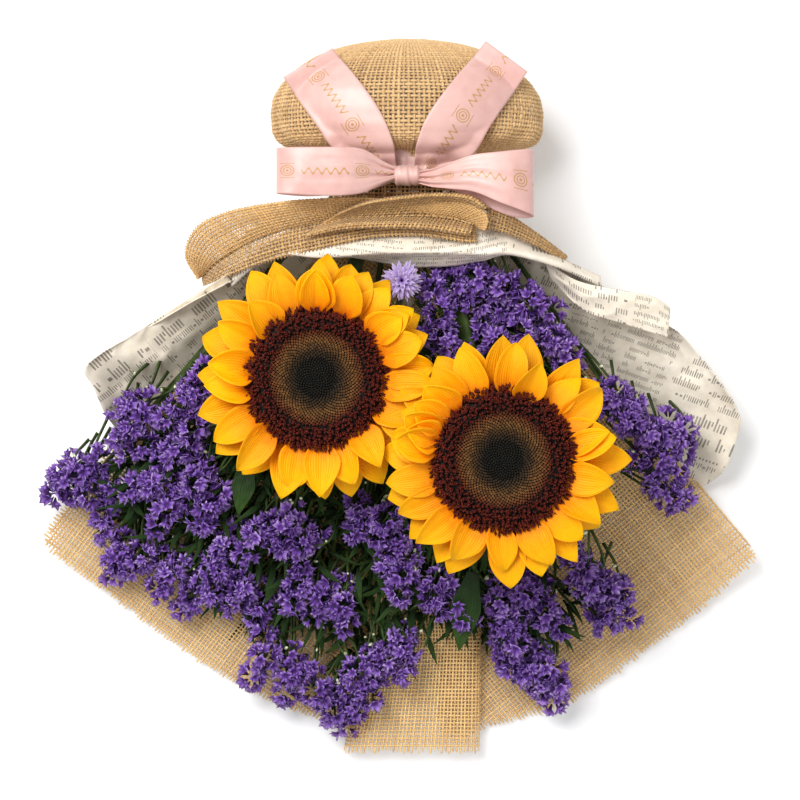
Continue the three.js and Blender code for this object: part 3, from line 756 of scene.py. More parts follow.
# The pouch round the stem ends: its half width by y, and how its cloth is measured and woven.
pouchRadius = table([
    (117, 40), (138.5, 41), (139.5, 52), (141, 64), (144, 71), (150, 75), (160, 76), (169, 74.5), (177, 69.5),
    (186, 60), (192, 51), (197, 38), (200.5, 22), (202, 0),
], 1.2)
pouch = {
    "measure": 62,      # the radius at which a runs round it
    "lowest": 1.3,      # its underside over the table
    "pitch": 2.3,
    "underYarns": 20,   # yarns to each side of the lowest line that are a piece of their own
    "yarn": {"seed": 41, "half": 0.93, "high": 0.42},
}


# Height of the pouch's upper side.
def pouchTop(x, y):
    r = pouchRadius(y)
    return axisHeight + depthRatio * np.sqrt(np.maximum(r * r - (x - axisX) ** 2, 0))


# A point of the pouch: an ellipse round its axis, pulled into gathers near the neck.
def pouchPoint(angle, y):
    r = pouchRadius(y)
    gather = smooth01((158 - y) / 22)
    r = r * (1 + 0.035 * gather * np.sin(17 * angle + 0.7 * np.sin(3 * angle))) + 0.6 * np.sin(5 * angle + y
                                                                                               * 0.05)
    r = np.maximum(r, 0)
    lowest = pouch["lowest"] + 0.3 * np.sin(9 * angle)
    z = np.maximum(axisHeight + depthRatio * r * np.cos(angle), lowest)
    return np.stack([axisX + r * np.sin(angle), y, z], -1)


pouchY = np.linspace(130, 201.9, 400)
pouchArc = np.concatenate([[0], np.cumsum(np.hypot(np.diff(pouchY), np.diff(pouchRadius(pouchY))))])


# A point of the pouch's cloth: a runs round it, b along its outline from the neck to the crown.
def pouchSurface(a, b):
    return pouchPoint(np.pi + a / pouch["measure"], np.interp(b, pouchArc, pouchY))


# Where they crowd towards the crown, of the yarns along b every second, fourth and then eighth is left.
def pouchKeep(a, b, family):
    r = pouchRadius(np.interp(b, pouchArc, pouchY))
    if family == 0:
        return (b > 0) & (b < pouchArc[-1] - 1)
    number = np.round(a / pouch["pitch"]).astype(int)
    every = np.where(r < 9, 8, np.where(r < 18, 4, np.where(r < 34, 2, 1)))
    return ((number % every == 0) | (b < 40)) & (b < pouchArc[-1] - 1)


pouchTurn = 2 * np.pi * pouch["measure"]
pouchUnder = pouch["underYarns"] * pouch["pitch"]
for name, start, end in (("hessian_pouch", pouchUnder, pouchTurn - pouchUnder),
                         ("hessian_pouch_under", -pouchUnder - 1, pouchUnder + 1.5)):
    bag = weave(name, pouchSurface, (start, end), (0, pouchArc[-1]), pouchKeep, hessianDeep, ["burlap_pouch"],
                {"pitch": pouch["pitch"], **pouch["yarn"]})

crown = {"radius": 26, "half": 27, "end": 201.6, "dome": 3.4}   # the round patch that closes the pouch


# The end of the pouch, domed as the square of the distance from its middle, with a across and b up.
def crownSurface(a, b):
    y = crown["end"] - crown["dome"] * (np.hypot(a, b) / crown["half"]) ** 2
    return np.stack([axisX + a, y, axisHeight + depthRatio * b], -1)


# A round of cloth.
def crownKeep(a, b, family):
    return np.hypot(a, b) < crown["radius"]


crownSpan = (-crown["half"], crown["half"])
patch = weave("hessian_pouch_crown", crownSurface, crownSpan, crownSpan, crownKeep, hessianDeep,
              ["burlap_pouch"],
              {"seed": 42, "half": 0.85, "high": 0.42})
print("hessian done")

# Newsprint.

# The point's place on the flat sheet, as two numbers in millimetres.
def clothPlace(tree):
    uv = add(tree, "ShaderNodeUVMap", uv_map="cloth").outputs[0]
    parts = add(tree, "ShaderNodeSeparateXYZ", {0: uv})
    return times(tree, parts.outputs[0], 1000.0), times(tree, parts.outputs[1], 1000.0)


# 1 where low < value < high, else 0.
def within(tree, value, low, high):
    return times(tree, calc(tree, "GREATER_THAN", value, low), calc(tree, "LESS_THAN", value, high))


# Rows of printed ticks and dashes in short runs: pitch is a mark's width, row the line spacing, seed
# moves it all.
def buildMarks(tree, inputs):
    u, v, pitch = inputs["u"], inputs["v"], inputs["pitch"]
    line = calc(tree, "DIVIDE", v, inputs["row"])
    row, up = calc(tree, "FLOOR", line), calc(tree, "FRACT", line)
    shifted = plus(tree, calc(tree, "DIVIDE", u, pitch), times(tree, row, 7.37))
    cell, across = calc(tree, "FLOOR", shifted), calc(tree, "FRACT", shifted)
    key = add(tree, "ShaderNodeCombineXYZ", {0: cell, 1: row, 2: inputs["seed"]}).outputs[0]
    white = add(tree, "ShaderNodeTexWhiteNoise", {"Vector": key}).outputs[0]
    slowCell, farRow = times(tree, cell, 0.31), times(tree, row, 5.3)
    runKey = add(tree, "ShaderNodeCombineXYZ", {0: slowCell, 1: farRow, 2: inputs["seed"]}).outputs[0]
    isRun = calc(tree, "GREATER_THAN", noise(tree, runKey, 1.0, 0.0), 0.4)
    top = scaled(tree, calc(tree, "GREATER_THAN", white, 0.72), 0.26, 0.66)
    bottom = scaled(tree, calc(tree, "LESS_THAN", white, 0.2), 0.2, 0.2)
    firstTick = times(tree, within(tree, across, 0.08, 0.34), within(tree, up, 0.2, top))
    secondTick = times(tree, within(tree, across, 0.58, 0.8), within(tree, up, bottom, 0.66))
    ticks = calc(tree, "MAXIMUM", firstTick, secondTick)
    isDash = within(tree, white, 0.42, 0.6)
    dash = times(tree, within(tree, across, 0.1, 0.72), calc(tree, "COMPARE", up, 0.42, 0.09))
    return times(tree, isRun, blend(tree, isDash, ticks, dash))


marks = groupOf("marks", {"u": 0.0, "v": 0.0, "pitch": 1.5, "row": 4.0, "seed": 0.0}, buildMarks)

newsprint = {
    "block": (46.0, 27.0),    # width and height of a block whose marks are all of one size
    "gutter": 3.0,            # the gap between columns
    "small": (1.7, 4.4),      # a mark's width and its line spacing
    "medium": (2.6, 6.8),
    "large": (3.9, 10.6),
    "thickness": 0.45,
    "ink": srgb(70, 64, 60),
    "paper": (srgb(220, 209, 190), srgb(240, 231, 214)),
}


# Paper with columns of marks: each block takes small, medium or large ones by chance.
def newsprintMaterial():
    material, tree, shader = newMaterial("newsprint", 0.82)
    u, v = clothPlace(tree)
    blockWide, blockHigh = newsprint["block"]
    blockU = calc(tree, "FLOOR", calc(tree, "DIVIDE", u, blockWide))
    blockV = calc(tree, "FLOOR", calc(tree, "DIVIDE", v, blockHigh))
    key = add(tree, "ShaderNodeCombineXYZ", {0: blockU, 1: blockV, 2: 3.0}).outputs[0]
    chance = add(tree, "ShaderNodeTexWhiteNoise", {"Vector": key}).outputs[0]
    small, medium, large = (use(tree, marks, u=u, v=v, pitch=newsprint[size][0], row=newsprint[size][1],
                                seed=seed)
                            for size, seed in (("small", 1.0), ("medium", 2.0), ("large", 3.0)))
    isLarge = calc(tree, "GREATER_THAN", chance, 0.72)
    isSmall = calc(tree, "LESS_THAN", chance, 0.34)
    isMedium = calc(tree, "SUBTRACT", 1.0, plus(tree, isLarge, isSmall))
    ink = times(tree, small, isSmall)
    ink = calc(tree, "MAXIMUM", ink, times(tree, large, isLarge))
    ink = calc(tree, "MAXIMUM", ink, times(tree, medium, isMedium))
    inColumn = calc(tree, "MODULO", plus(tree, u, 100 * blockWide), blockWide)
    ink = times(tree, ink, calc(tree, "GREATER_THAN", inColumn, newsprint["gutter"]))
    worn = noise(tree, place(tree), 260.0, 3.0)
    ink = times(tree, ink, scaled(tree, worn, 0.7, 0.42))
    tone = ramp(tree, use(tree, mottle, scale=30.0), list(zip((0.0, 1.0), newsprint["paper"])))
    paint(tree, shader, blend(tree, times(tree, ink, 0.85), tone, newsprint["ink"]))
    translucent(shader, 0.06, (0.002, 0.002, 0.0015))
    bump(tree, shader, noise(tree, place(tree), 900.0, 4.0), 0.0002, 0.35)
    return material


paper = newsprintMaterial()


# Sharp folds of handled paper: one minus the size of a slow wave, so it peaks along lines.
def creases(x, y, seed, size):
    return 1 - np.abs(waves(x, y, seed, size)) * 1.6


# A closed thin sheet of paper; cloth is each grid point's place on it when flat, in metres.
def addPaper(name, node, grid, cloth):
    points, faces, uv = closedSheet(grid, newsprint["thickness"], cloth)
    piece = addMesh(name, points, faces, paper, [node], None, uv)


# Evenly spaced places on a flat sheet, in millimetres: u along its width and v along its length.
def flatPlaces(width, length, rows, columns):
    u = np.linspace(0, width, columns)[None] * np.ones((rows, 1))
    v = np.linspace(0, length, rows)[:, None] * np.ones((1, columns))
    return u, v


paperEdge = [
    (-88, 70), (-132, 46), (-174, 21), (-172, 6), (-160, -20), (-130, -45), (-60, -90), (0, -104),
    (60, -92), (130, -62), (178, -48), (192, -20), (190, -3), (168, 26), (148, 43), (92, 66),
]
# The back sheet runs from the neck to its edge. It lies under the fan, and is creased and curled where it
# comes out. Its print turns from one side to the other.
rows, columns = 105, 290
outer = curve(paperEdge, columns)
t = np.linspace(0, 1, rows)[:, None]
rootX = np.linspace(-32, 32, columns)[None]
x = rootX + (outer[:, 0][None] - rootX) * t
y = neckY + (outer[:, 1][None] - neckY) * t
underFan = np.maximum(*(edgeGap(x, y, np.array(o, float))[0] for o in (fanLeftOutline, fanRightOutline)))
free = smooth01((-underFan - 1) / 14)
folds = 2.0 + 3.4 * creases(x, y, 51, 60.0) + 1.2 * creases(x, y, 52, 26.0) + 0.5 * creases(x, y, 53, 11.0)
lift = free * smooth01((96 - y) / 20) * folds
edgeCurl = free * 5.0 * np.clip((t - 0.9) / 0.1, 0, 1) ** 2 * (1 + waves(x, y, 54, 70.0))
turn = np.radians(38 - 58 * smooth01((x + 40) / 80))
cloth = np.stack([x * np.cos(turn) + y * np.sin(turn), -x * np.sin(turn) + y * np.cos(turn)], -1) * mm
addPaper("newsprint_back", "newsprint_back_sheet", layer(x, y, 0.35, np.maximum(lift, 0) + edgeCurl), cloth)


# The front fold starts round the upper half of the neck and spreads to its rim over the collar.
archAngle = np.radians(np.linspace(178, 2, 7))
archHalf = 34
arch = np.stack([axisX + archHalf * np.cos(archAngle), np.full(7, neckY - 4),
                 axisHeight + archHalf * depthRatio * np.sin(archAngle)], -1)
frontRim = np.array([
    (-94, 64, 52), (-80, 74, 66), (-62, 79, 76), (-44, 78, 85), (-20, 79, 88.5), (4, 79, 90), (26, 79, 90),
    (44, 79, 88), (62, 80, 84), (88, 73, 74), (112, 62, 60),
], float)
frontBack = np.array([
    (-86, 78, 50), (-74, 86, 60), (-58, 92, 70), (-42, 94, 77), (-20, 95, 80), (4, 96, 81), (26, 96, 81),
    (44, 95, 79), (60, 92, 75), (82, 84, 67), (104, 70, 56),
], float)
inwards = np.exp(-((frontRim[:, :1] - 15) / 50) ** 2)   # in the middle the edge turns down into the bunch
tuckOne = frontRim + np.array([0, 1.6, -4.2]) + inwards * np.array([0, -3.6, -3.0])
tuckTwo = frontRim + np.array([0, 7.0, -7.0]) + inwards * np.array([0, -13.5, -9.0])
rows, columns = 46, 230
front = loft([arch, frontBack, frontRim + np.array([0, 2.4, 1.0]), frontRim, tuckOne, tuckTwo], rows, columns)
u, v = flatPlaces(190, 64, rows, columns)
ease = smooth01((np.arange(rows) - 10) / 13)[:, None]   # no creases next to the neck
front[..., 2] += ease * (1.3 * creases(u, v * 0.6, 61, 46.0) + 0.7 * creases(u, v, 62, 20.0) - 0.6)
front[..., 1] += ease * 1.6 * waves(u, v * 0.4, 63, 60.0)
addPaper("newsprint_front", "newsprint_front_fold", front, np.stack([u, v], -1) * mm)

# A small flap on the right, rolled under at its upper edge.
near = np.array([(80, 78, 62), (98, 66, 66), (120, 61, 67), (140, 57, 67), (150, 51, 64)], float)
far = np.array([(84, 68, 58), (102, 50, 60), (122, 43, 61), (138, 38, 62), (149, 35, 60)], float)
between = near * 0.55 + far * 0.45 + np.array([0, 0, 1.2])
flap = loft([near + np.array([0, -1.5, -3.5]), near, between, far], 30, 90)
u, v = flatPlaces(68, 24, 30, 90)
flap[..., 2] += 0.9 * creases(u, v, 71, 22.0)
addPaper("newsprint_flap", "newsprint_right_flap", flap, np.stack([u, v], -1) * mm)
print("newsprint done")

# Satin ribbon.

ribbon = {
    "width": 32,
    "thickness": 0.5,
    "repeat": 36.0,           # from one gold motif to the next
    "pink": (srgb(204, 158, 150), srgb(219, 178, 169)),
    "gold": srgb(176, 132, 66),
    "tailRows": (90, 25),     # rows along and columns across
    "loopRows": (150, 33),
    "knotHeight": 84.0,
}


# A gold ring motif on the middle of the ribbon at every repeat, with a wavy line between two of them.
def buildMotif(tree, inputs):
    u, v = inputs["u"], inputs["v"]
    period = calc(tree, "MODULO", plus(tree, u, 100 * ribbon["repeat"]), ribbon["repeat"])
    away = calc(tree, "SUBTRACT", period, ribbon["repeat"] / 2)
    squares = plus(tree, times(tree, away, away), times(tree, v, v))
    far = calc(tree, "SQRT", squares)
    rings = calc(tree, "MAXIMUM", calc(tree, "COMPARE", far, 3.5, 0.3), calc(tree, "COMPARE", far, 2.1, 0.28))
    rings = calc(tree, "MAXIMUM", rings, calc(tree, "LESS_THAN", far, 0.8))
    rings = calc(tree, "MAXIMUM", rings, calc(tree, "COMPARE", calc(tree, "ABSOLUTE", v), 4.9, 0.22))
    rings = times(tree, rings, calc(tree, "LESS_THAN", calc(tree, "ABSOLUTE", away), 3.9))
    swing = times(tree, calc(tree, "SINE", times(tree, u, 1.55)), 1.7)
    gap = calc(tree, "ABSOLUTE", calc(tree, "SUBTRACT", v, swing))
    clear = calc(tree, "GREATER_THAN", calc(tree, "ABSOLUTE", away), 7.0)
    line = times(tree, calc(tree, "LESS_THAN", gap, 0.75), clear)
    return calc(tree, "MAXIMUM", rings, line)


motif = groupOf("motif", {"u": 0.0, "v": 0.0}, buildMotif)

# Pink satin with fine ribs across it and the gold motifs.
def satinMaterial():
    material, tree, shader = newMaterial("satinPink", 0.36, 0.55)
    u, v = clothPlace(tree)
    tone = ramp(tree, use(tree, mottle, scale=16.0), list(zip((0.0, 1.0), ribbon["pink"])))
    isGold = times(tree, use(tree, motif, u=u, v=v), 0.9)
    paint(tree, shader, blend(tree, isGold, tone, ribbon["gold"]))
    sheen(shader, 0.35, 0.35)
    rib = calc(tree, "SINE", times(tree, u, 18.0))
    bump(tree, shader, scaled(tree, rib, 0.5, 0.5), 0.00004, 0.5)
    return material


satin = satinMaterial()


# A ribbon between two edge curves, straight across: rows along it and columns across.
def ribbonGrid(leftEdge, rightEdge, rows, columns):
    left, right = curve(leftEdge, rows), curve(rightEdge, rows)
    s = np.linspace(0, 1, columns)[None, :, None]
    return left[:, None] * (1 - s) + right[:, None] * s


# One length of ribbon. Its flat place is the length along its middle line, times stretch plus start, and
# the width across.
def addRibbon(name, grid, node, start, stretch):
    rows, columns = grid.shape[:2]
    middle = grid[:, columns // 2]
    length = np.concatenate([[0], np.cumsum(np.linalg.norm(np.diff(middle, axis=0), axis=1))])
    u = (length * stretch + start)[:, None] * np.ones((1, columns))
    v = np.linspace(-ribbon["width"] / 2, ribbon["width"] / 2, columns)[None] * np.ones((rows, 1))
    points, faces, uv = closedSheet(grid, ribbon["thickness"], np.stack([u, v], -1) * mm)
    piece = addMesh(name, points, faces, satin, [node], None, uv)


# Height of a tail: just over the pouch, and down to the band under the bow.
def tailHeight(x, y):
    over = np.maximum(pouchTop(x, y) + 2.6, pouchTop(x, y + 5) + 0.6)
    over = np.maximum(over, (pouchTop(x, y) + pouchTop(x, y + 9) + pouchTop(x, y + 18)) / 3 - 2)
    return np.maximum(over, 79.0)


# A tail from under the bow to its straight cut end; edges run from the knot outwards in plan. It is folded
# near the knot, soft further out, and its end stands up a little. A motif's middle is 11 mm from the end.
def addTail(name, node, leftEdge, rightEdge):
    rows, columns = ribbon["tailRows"]
    ringFromEnd, middle = 11.0, slice(columns // 2, columns // 2 + 1)
    left, right = (np.c_[np.array(edge, float), np.zeros(len(edge))] for edge in (leftEdge, rightEdge))
    grid = ribbonGrid(left, right, rows, columns)
    x, y = grid[..., 0], grid[..., 1]
    s = np.linspace(0, 1, columns)[None]
    t = np.linspace(0, 1, rows)[:, None]
    folds = 1.5 * np.cos(4 * np.pi * s + 0.8) * np.clip(1 - t / 0.45, 0, 1) ** 1.5
    soft = 0.9 * np.sin(np.pi * s) * smooth01(t / 0.4) + 1.1 * waves(x, y, 81 + len(name),
                                                                     60.0) * smooth01(t / 0.5)
    height = np.maximum(tailHeight(x, y), tailHeight(x[:, middle], y[:, middle]) - 5)
    grid[..., 2] = height + folds + soft + 2.4 * smooth01((t - 0.86) / 0.14)
    length = np.linalg.norm(np.diff(grid[:, columns // 2], axis=0), axis=1).sum()
    start = ribbon["repeat"] / 2 - (length - ringFromEnd)
    addRibbon(name, grid, node, start, 1.0)


addTail("ribbon_tail_left_cloth", "ribbon_tail_left",
        [(-6, 124), (-20, 128), (-36, 137), (-45, 149), (-64, 177)],
        [(3, 122), (-1.6, 128), (-4.4, 142), (-14, 162), (-37, 193)])
addTail("ribbon_tail_right_cloth", "ribbon_tail_right",
        [(5, 122), (7.7, 128), (9.3, 140), (18, 159), (47, 197)],
        [(14, 123), (27, 126), (40, 134), (51, 152), (70, 180)])


# A loop of the bow. The course lists (distance out, height over the knot, edge nearer the pouch, edge
# nearer the flowers). It is pinched into folds at the knot and full further out.
def addLoop(name, node, side, course):
    rows, columns = ribbon["loopRows"]
    out, above, high, low = np.array(course, float).T
    x, z = axisX + side * out, ribbon["knotHeight"] + above
    grid = ribbonGrid(np.stack([x, high, z], -1), np.stack([x, low, z], -1), rows, columns)
    away = np.abs(grid[..., 0] - axisX)
    s = np.linspace(0, 1, columns)[None]
    pinch = np.exp(-np.maximum(away - 6, 0) / 15.0)
    upper = smooth01((np.arange(rows)[:, None] - 78) / 12)   # 1 on the part that comes back over the top
    folds = 1.6 * np.cos(2 * np.pi * 2.6 * s + side) + 0.8 * np.cos(2 * np.pi * 5.2 * s + 1)
    grid[..., 2] += pinch * folds * (0.4 + 0.6 * upper)
    grid[..., 2] += 1.4 * np.sin(np.pi * s) * smooth01((away - 14) / 20) * (2 * upper - 1)
    grid[..., 2] += 0.7 * waves(grid[..., 0], grid[..., 1], 90 + side, 34.0) * smooth01((away - 20) / 16)
    addRibbon(name, grid, node, 24.0, 0.85)


addLoop("ribbon_loop_left_cloth", "ribbon_loop_left", -1, [
    (7, -3, 127, 120), (24, 3, 133, 114), (50, 9, 136, 111), (64, 13, 136, 111), (70.5, 19, 136, 111.5),
    (66, 24.5, 136, 111), (52, 27, 136, 110), (36, 25, 136, 110), (24, 20, 135.4, 112), (14, 13, 130, 117),
    (6, 7, 126.5, 121)])
addLoop("ribbon_loop_right_cloth", "ribbon_loop_right", 1, [
    (7, -3, 126, 119), (26, 3, 128, 114), (48, 9, 133, 103), (60, 12, 134, 99), (68.0, 18, 135, 99),
    (64, 24.5, 135, 101), (50, 27, 133.5, 106), (36, 25, 132, 112), (24, 20, 128.5, 114),
    (14, 13, 125.4, 115.5),
    (6, 7, 124.4, 118)])

# The knot: a barrel across the bow with creases running round it. Its radius is the fourth-power round of
# s, a little waisted.
rows, columns = 61, 72
s = np.linspace(-1, 1, rows)[:, None]
angle = np.linspace(0, 2 * np.pi, columns, endpoint=False)[None]
barrel = (1 - np.abs(s) ** 4.0) ** 0.5 * (1 - 0.13 * (1 - s ** 2))
fold = 1 + 0.05 * np.cos(9.0 * s + 0.8 * np.sin(angle)) + 0.03 * np.cos(17 * s + 2 * np.sin(angle + 1))
knotY = 122.6 + 6.2 * barrel * fold * np.cos(angle)
knotZ = ribbon["knotHeight"] + 3.6 + 8.2 * barrel * fold * np.sin(angle)
faces = gridFaces(rows, columns, True)[:, ::-1]
cloth = np.stack(np.broadcast_arrays(angle * 6.5, 10 + 6 * s), -1).reshape(-1, 2) * mm
addMesh("ribbon_knot_cloth", np.stack([axisX + 8.3 * s + 0 * angle, knotY, knotZ], -1), faces, satin,
        ["ribbon_knot"], None, {"cloth": cloth[faces.ravel()]})

# The band round the neck, gathered: its outside from edge to edge, then its inside back, closed round.
band = {"start": 119.5, "width": 19.5, "outer": 43.2, "inner": 41.6}
rows, columns = 25, 260
angle = np.linspace(0, 2 * np.pi, columns, endpoint=False)[None]
across = np.linspace(0, 1, rows)[:, None]
gathers = 0.7 * waves(angle * 43, across * 40, 97, 16.0) * np.sin(np.pi * across)
outerRadius = band["outer"] + 0.35 * np.cos(across * 6 * np.pi) + gathers


# Points of the band at that radius, set in from both edges.
def bandAt(radius, inset):
    y = band["start"] + (band["width"] - 2 * inset) * across + inset
    x, z = radius * np.sin(angle), depthRatio * radius * np.cos(angle)
    return np.stack([axisX + x, y + 0 * angle, axisHeight + z], -1)


points = np.concatenate([bandAt(outerRadius, 0.0), bandAt(np.full((rows, 1), band["inner"]), 0.1)[::-1]])
faces = gridFaces(2 * rows + 1, columns, True) % (2 * rows * columns)
cloth = np.stack([np.tile(angle[0] * 36, 2 * rows), np.full(2 * rows * columns, 12.0)], -1) * mm
addMesh("ribbon_band_cloth", points, faces, satin, ["ribbon_band"], None,
        {"cloth": cloth[faces.ravel()]})
print("ribbon done")

# Sunflowers.

# One mesh from many thin sheets [(grid, thickness, {attribute: per-grid-point values})].
def sheetSet(sheets):
    points, faces, values, count = [], [], {}, 0
    for grid, thickness, attrs in sheets:
        p, f, _ = closedSheet(grid, thickness)
        points.append(p)
        faces.append(f + count)
        count += len(p)
        for key, value in attrs.items():
            flat = np.broadcast_to(value, grid.shape[:2]).ravel()
            values.setdefault(key, []).append(np.concatenate([flat, flat]))
    return np.concatenate(points), np.concatenate(faces), {k: np.concatenate(v) for k, v in values.items()}


# A petal or leaf: a colour run from base to tip, a tone of its own, veins along it.
def leafMaterial(name, colours, veinCount, veinDepth, roughness=0.5, glow=0.1):
    base, middle, tip = (srgb(*colour) for colour in colours)
    material, tree, shader = newMaterial(name, roughness, 0.14)
    along, across, tone = attribute(tree, "along"), attribute(tree, "across"), attribute(tree, "tone")
    spot = noise(tree, place(tree), 240.0, 3.0)
    run = plus(tree, along, scaled(tree, spot, 0.3, -0.15))
    colour = ramp(tree, run, [(0.06, base), (0.42, middle), (0.95, tip)])
    line = use(tree, veins, across=across, count=veinCount)
    shade = scaled(tree, line, veinDepth, 1 - veinDepth)
    shade = times(tree, shade, scaled(tree, tone, 0.22, 0.86))
    grey = add(tree, "ShaderNodeCombineXYZ", {0: shade, 1: shade, 2: shade}).outputs[0]
    paint(tree, shader, blend(tree, 1.0, colour, grey, "MULTIPLY"))
    translucent(shader, glow, (0.003, 0.0015, 0.0005))
    bump(tree, shader, line, 0.00025, 0.6)
    return material


petalYellow = leafMaterial("petalYellow", [(222, 100, 0), (250, 156, 0), (255, 184, 2)], 7.0, 0.07)
bractGreen = leafMaterial("bractGreen", [(74, 92, 40), (96, 122, 52), (126, 148, 70)], 4.0, 0.2, 0.6, 0.03)
leafGreen = leafMaterial("leafGreen", [(26, 42, 18), (38, 62, 26), (58, 84, 34)], 5.0, 0.25, 0.5, 0.04)


# A petal's grid. It leaves the head at radius root with that pitch in radians, which falls by bend to the
# tip. It widens smoothly over its first 42 %, and over its last 56 % the width falls by the power point
# of the share gone. cup raises both edges, twist turns the section along its length, sway bends it
# sideways.
def petal(centre, angle, root, length, half, pitch, bend, cup, twist, sway, point=1.5, rows=20, columns=11):
    t = np.linspace(0, 1, rows)
    q = np.clip((t - 0.44) / 0.56, 0, 1)
    width = half * (0.42 + 0.58 * smooth01(t / 0.42)) * (1 - q ** point) + 0.12
    slope = pitch - bend * t ** 1.3
    step = length / (rows - 1)
    out = root + np.concatenate([[0], np.cumsum(np.cos(slope[:-1]) * step)])
    up = np.concatenate([[0], np.cumsum(np.sin(slope[:-1]) * step)])
    side = sway * t ** 2 * length
    s = np.linspace(-1, 1, columns)[None]
    w = width[:, None]
    fold = cup * w * (s ** 2) - 0.045 * w * np.cos(3 * np.pi * s) * np.sin(np.pi * np.clip(t, 0, 1))[:, None]
    roll = (twist * t)[:, None]
    lateral = s * w * np.cos(roll) - fold * np.sin(roll)
    lift = s * w * np.sin(roll) + fold * np.cos(roll)
    x = out[:, None] - lift * np.sin(slope)[:, None]
    z = up[:, None] + lift * np.cos(slope)[:, None]
    y = side[:, None] + lateral
    c, k = math.cos(angle), math.sin(angle)
    grid = np.stack([centre[0] + x * c - y * k, centre[1] + x * k + y * c, centre[2] + z], -1)
    return grid, t[:, None] * np.ones((1, columns)), s * np.ones((rows, 1))


# A ring of separate petals; settings give the middle and the spread of each measure. Some curl up more,
# and if a row is only on one side, its petals stand anywhere between the two angles.
def petalRow(name, node, centre, count, settings, pick):
    sheets = []
    side = settings.get("only")
    for k in range(count):
        value = {key: middle + by * pick.uniform(-1, 1) for key, (middle, by) in settings["sizes"].items()}
        shuffle = pick.uniform(-1, 1) * settings["shuffle"] / count
        angle = 2 * np.pi * (k + settings["phase"]) / count + shuffle
        if side:
            angle = np.radians(pick.uniform(*side))
        if pick.random() < settings["curl"]:
            value["pitch"] += 0.26
            value["bend"] -= 0.35
            value["cup"] += 0.35
            value["length"] *= 0.88
        root = np.array([centre[0], centre[1], centre[2] + settings["height"] + 1.1 * (k % 2)])
        grid, along, across = petal(root, angle, **value)
        sheets.append((grid, 0.35, {"along": along, "across": across, "tone": pick.random()}))
    points, faces, values = sheetSet(sheets)
    addMesh(name, points, faces, petalYellow, [node], values)


outerRays = {"height": -13.5, "phase": 0.0, "shuffle": 1.6, "curl": 0.08, "sizes": {
    "root": (31.5, 0.8), "length": (36.0, 2.0), "half": (10.0, 0.9), "point": (2.3, 0.5),
    "pitch": (0.26, 0.12),
    "bend": (0.55, 0.3), "cup": (0.24, 0.16), "twist": (0.0, 0.5), "sway": (0.0, 0.12)}}
middleRays = {"height": -8.0, "phase": 0.5, "shuffle": 1.8, "curl": 0.22, "sizes": {
    "root": (32.5, 0.8), "length": (31.5, 3.0), "half": (9.2, 1.0), "point": (2.3, 0.6), "pitch": (0.5, 0.16),
    "bend": (0.8, 0.35), "cup": (0.34, 0.18), "twist": (0.0, 0.7), "sway": (0.0, 0.16)}}
shortRays = {"height": -5.0, "phase": 0.2, "shuffle": 2.5, "curl": 0.0, "sizes": {
    "root": (35.5, 0.6), "length": (25.0, 3.0), "half": (9.2, 0.8), "point": (2.8, 0.5),
    "pitch": (0.66, 0.12),
    "bend": (0.4, 0.3), "cup": (0.45, 0.15), "twist": (0.0, 0.5), "sway": (0.0, 0.15)}}

# Colours of the disc by how far out a floret stands: at its foot and at its tip.
discColours = {
    "foot": [(0.0, srgb(12, 14, 10)), (0.3, srgb(18, 13, 8)), (0.55, srgb(28, 10, 6)),
             (0.9, srgb(50, 12, 5))],
    "tip": [(0.0, srgb(30, 34, 26)), (0.26, srgb(30, 28, 18)), (0.38, srgb(72, 52, 28)),
            (0.52, srgb(140, 96, 48)),
            (0.64, srgb(128, 66, 30)), (0.7, srgb(110, 30, 12)), (1.0, srgb(128, 38, 14))],
}


# Disc florets: from the foot's colour to the tip's, by each one's own tone and a fine grain.
def discMaterial():
    material, tree, shader = newMaterial("floret", 0.7)
    zone = attribute(tree, "zone")
    foot, tip = ramp(tree, zone, discColours["foot"]), ramp(tree, zone, discColours["tip"])
    ownTone = scaled(tree, attribute(tree, "tone"), 0.7, 0.45)
    grain = scaled(tree, noise(tree, place(tree), 420.0, 2.0), 0.8, 0.6)
    toTip = times(tree, calc(tree, "POWER", attribute(tree, "along"), 1.8), ownTone)
    paint(tree, shader, blend(tree, times(tree, toTip, grain), foot, tip))
    return material


floretMaterial = discMaterial()


# The triangles of a stack of rings whose first and last are closed by points, which come after the rings.
def closedRings(count, sides):
    quads = gridFaces(count, sides, True)
    k = np.arange(sides)
    after = (k + 1) % sides
    n = count * sides
    caps = [np.stack([np.full(sides, n), after, k], -1),
            np.stack([np.full(sides, n + 1), n - sides + k, n - sides + after], -1)]
    return np.concatenate([quads[:, [0, 1, 2]], quads[:, [0, 2, 3]]] + caps)


# A floret's rings of points [(radius, height, along, star)], closed at both ends. A star under 1 pulls
# every other point in and raises the rest by 0.35 of the radius.
def ringShape(levels, sides):
    angle = np.linspace(0, 2 * np.pi, sides, endpoint=False)
    isOdd = np.arange(sides) % 2
    rings = []
    for r, z, _, star in levels:
        reach = r * np.where(isOdd, 1, star)
        raised = 0.35 * r * isOdd if star < 1 else 0 * angle
        rings.append(np.stack([reach * np.cos(angle), reach * np.sin(angle), z + raised], -1))
    points = np.concatenate(rings + [[[0, 0, levels[0][1]]], [[0, 0, levels[-1][1]]]])
    along = np.concatenate([np.full(sides, a) for _, _, a, _ in levels] + [[levels[0][2]], [levels[-1][2]]])
    return points, closedRings(len(levels), sides), along


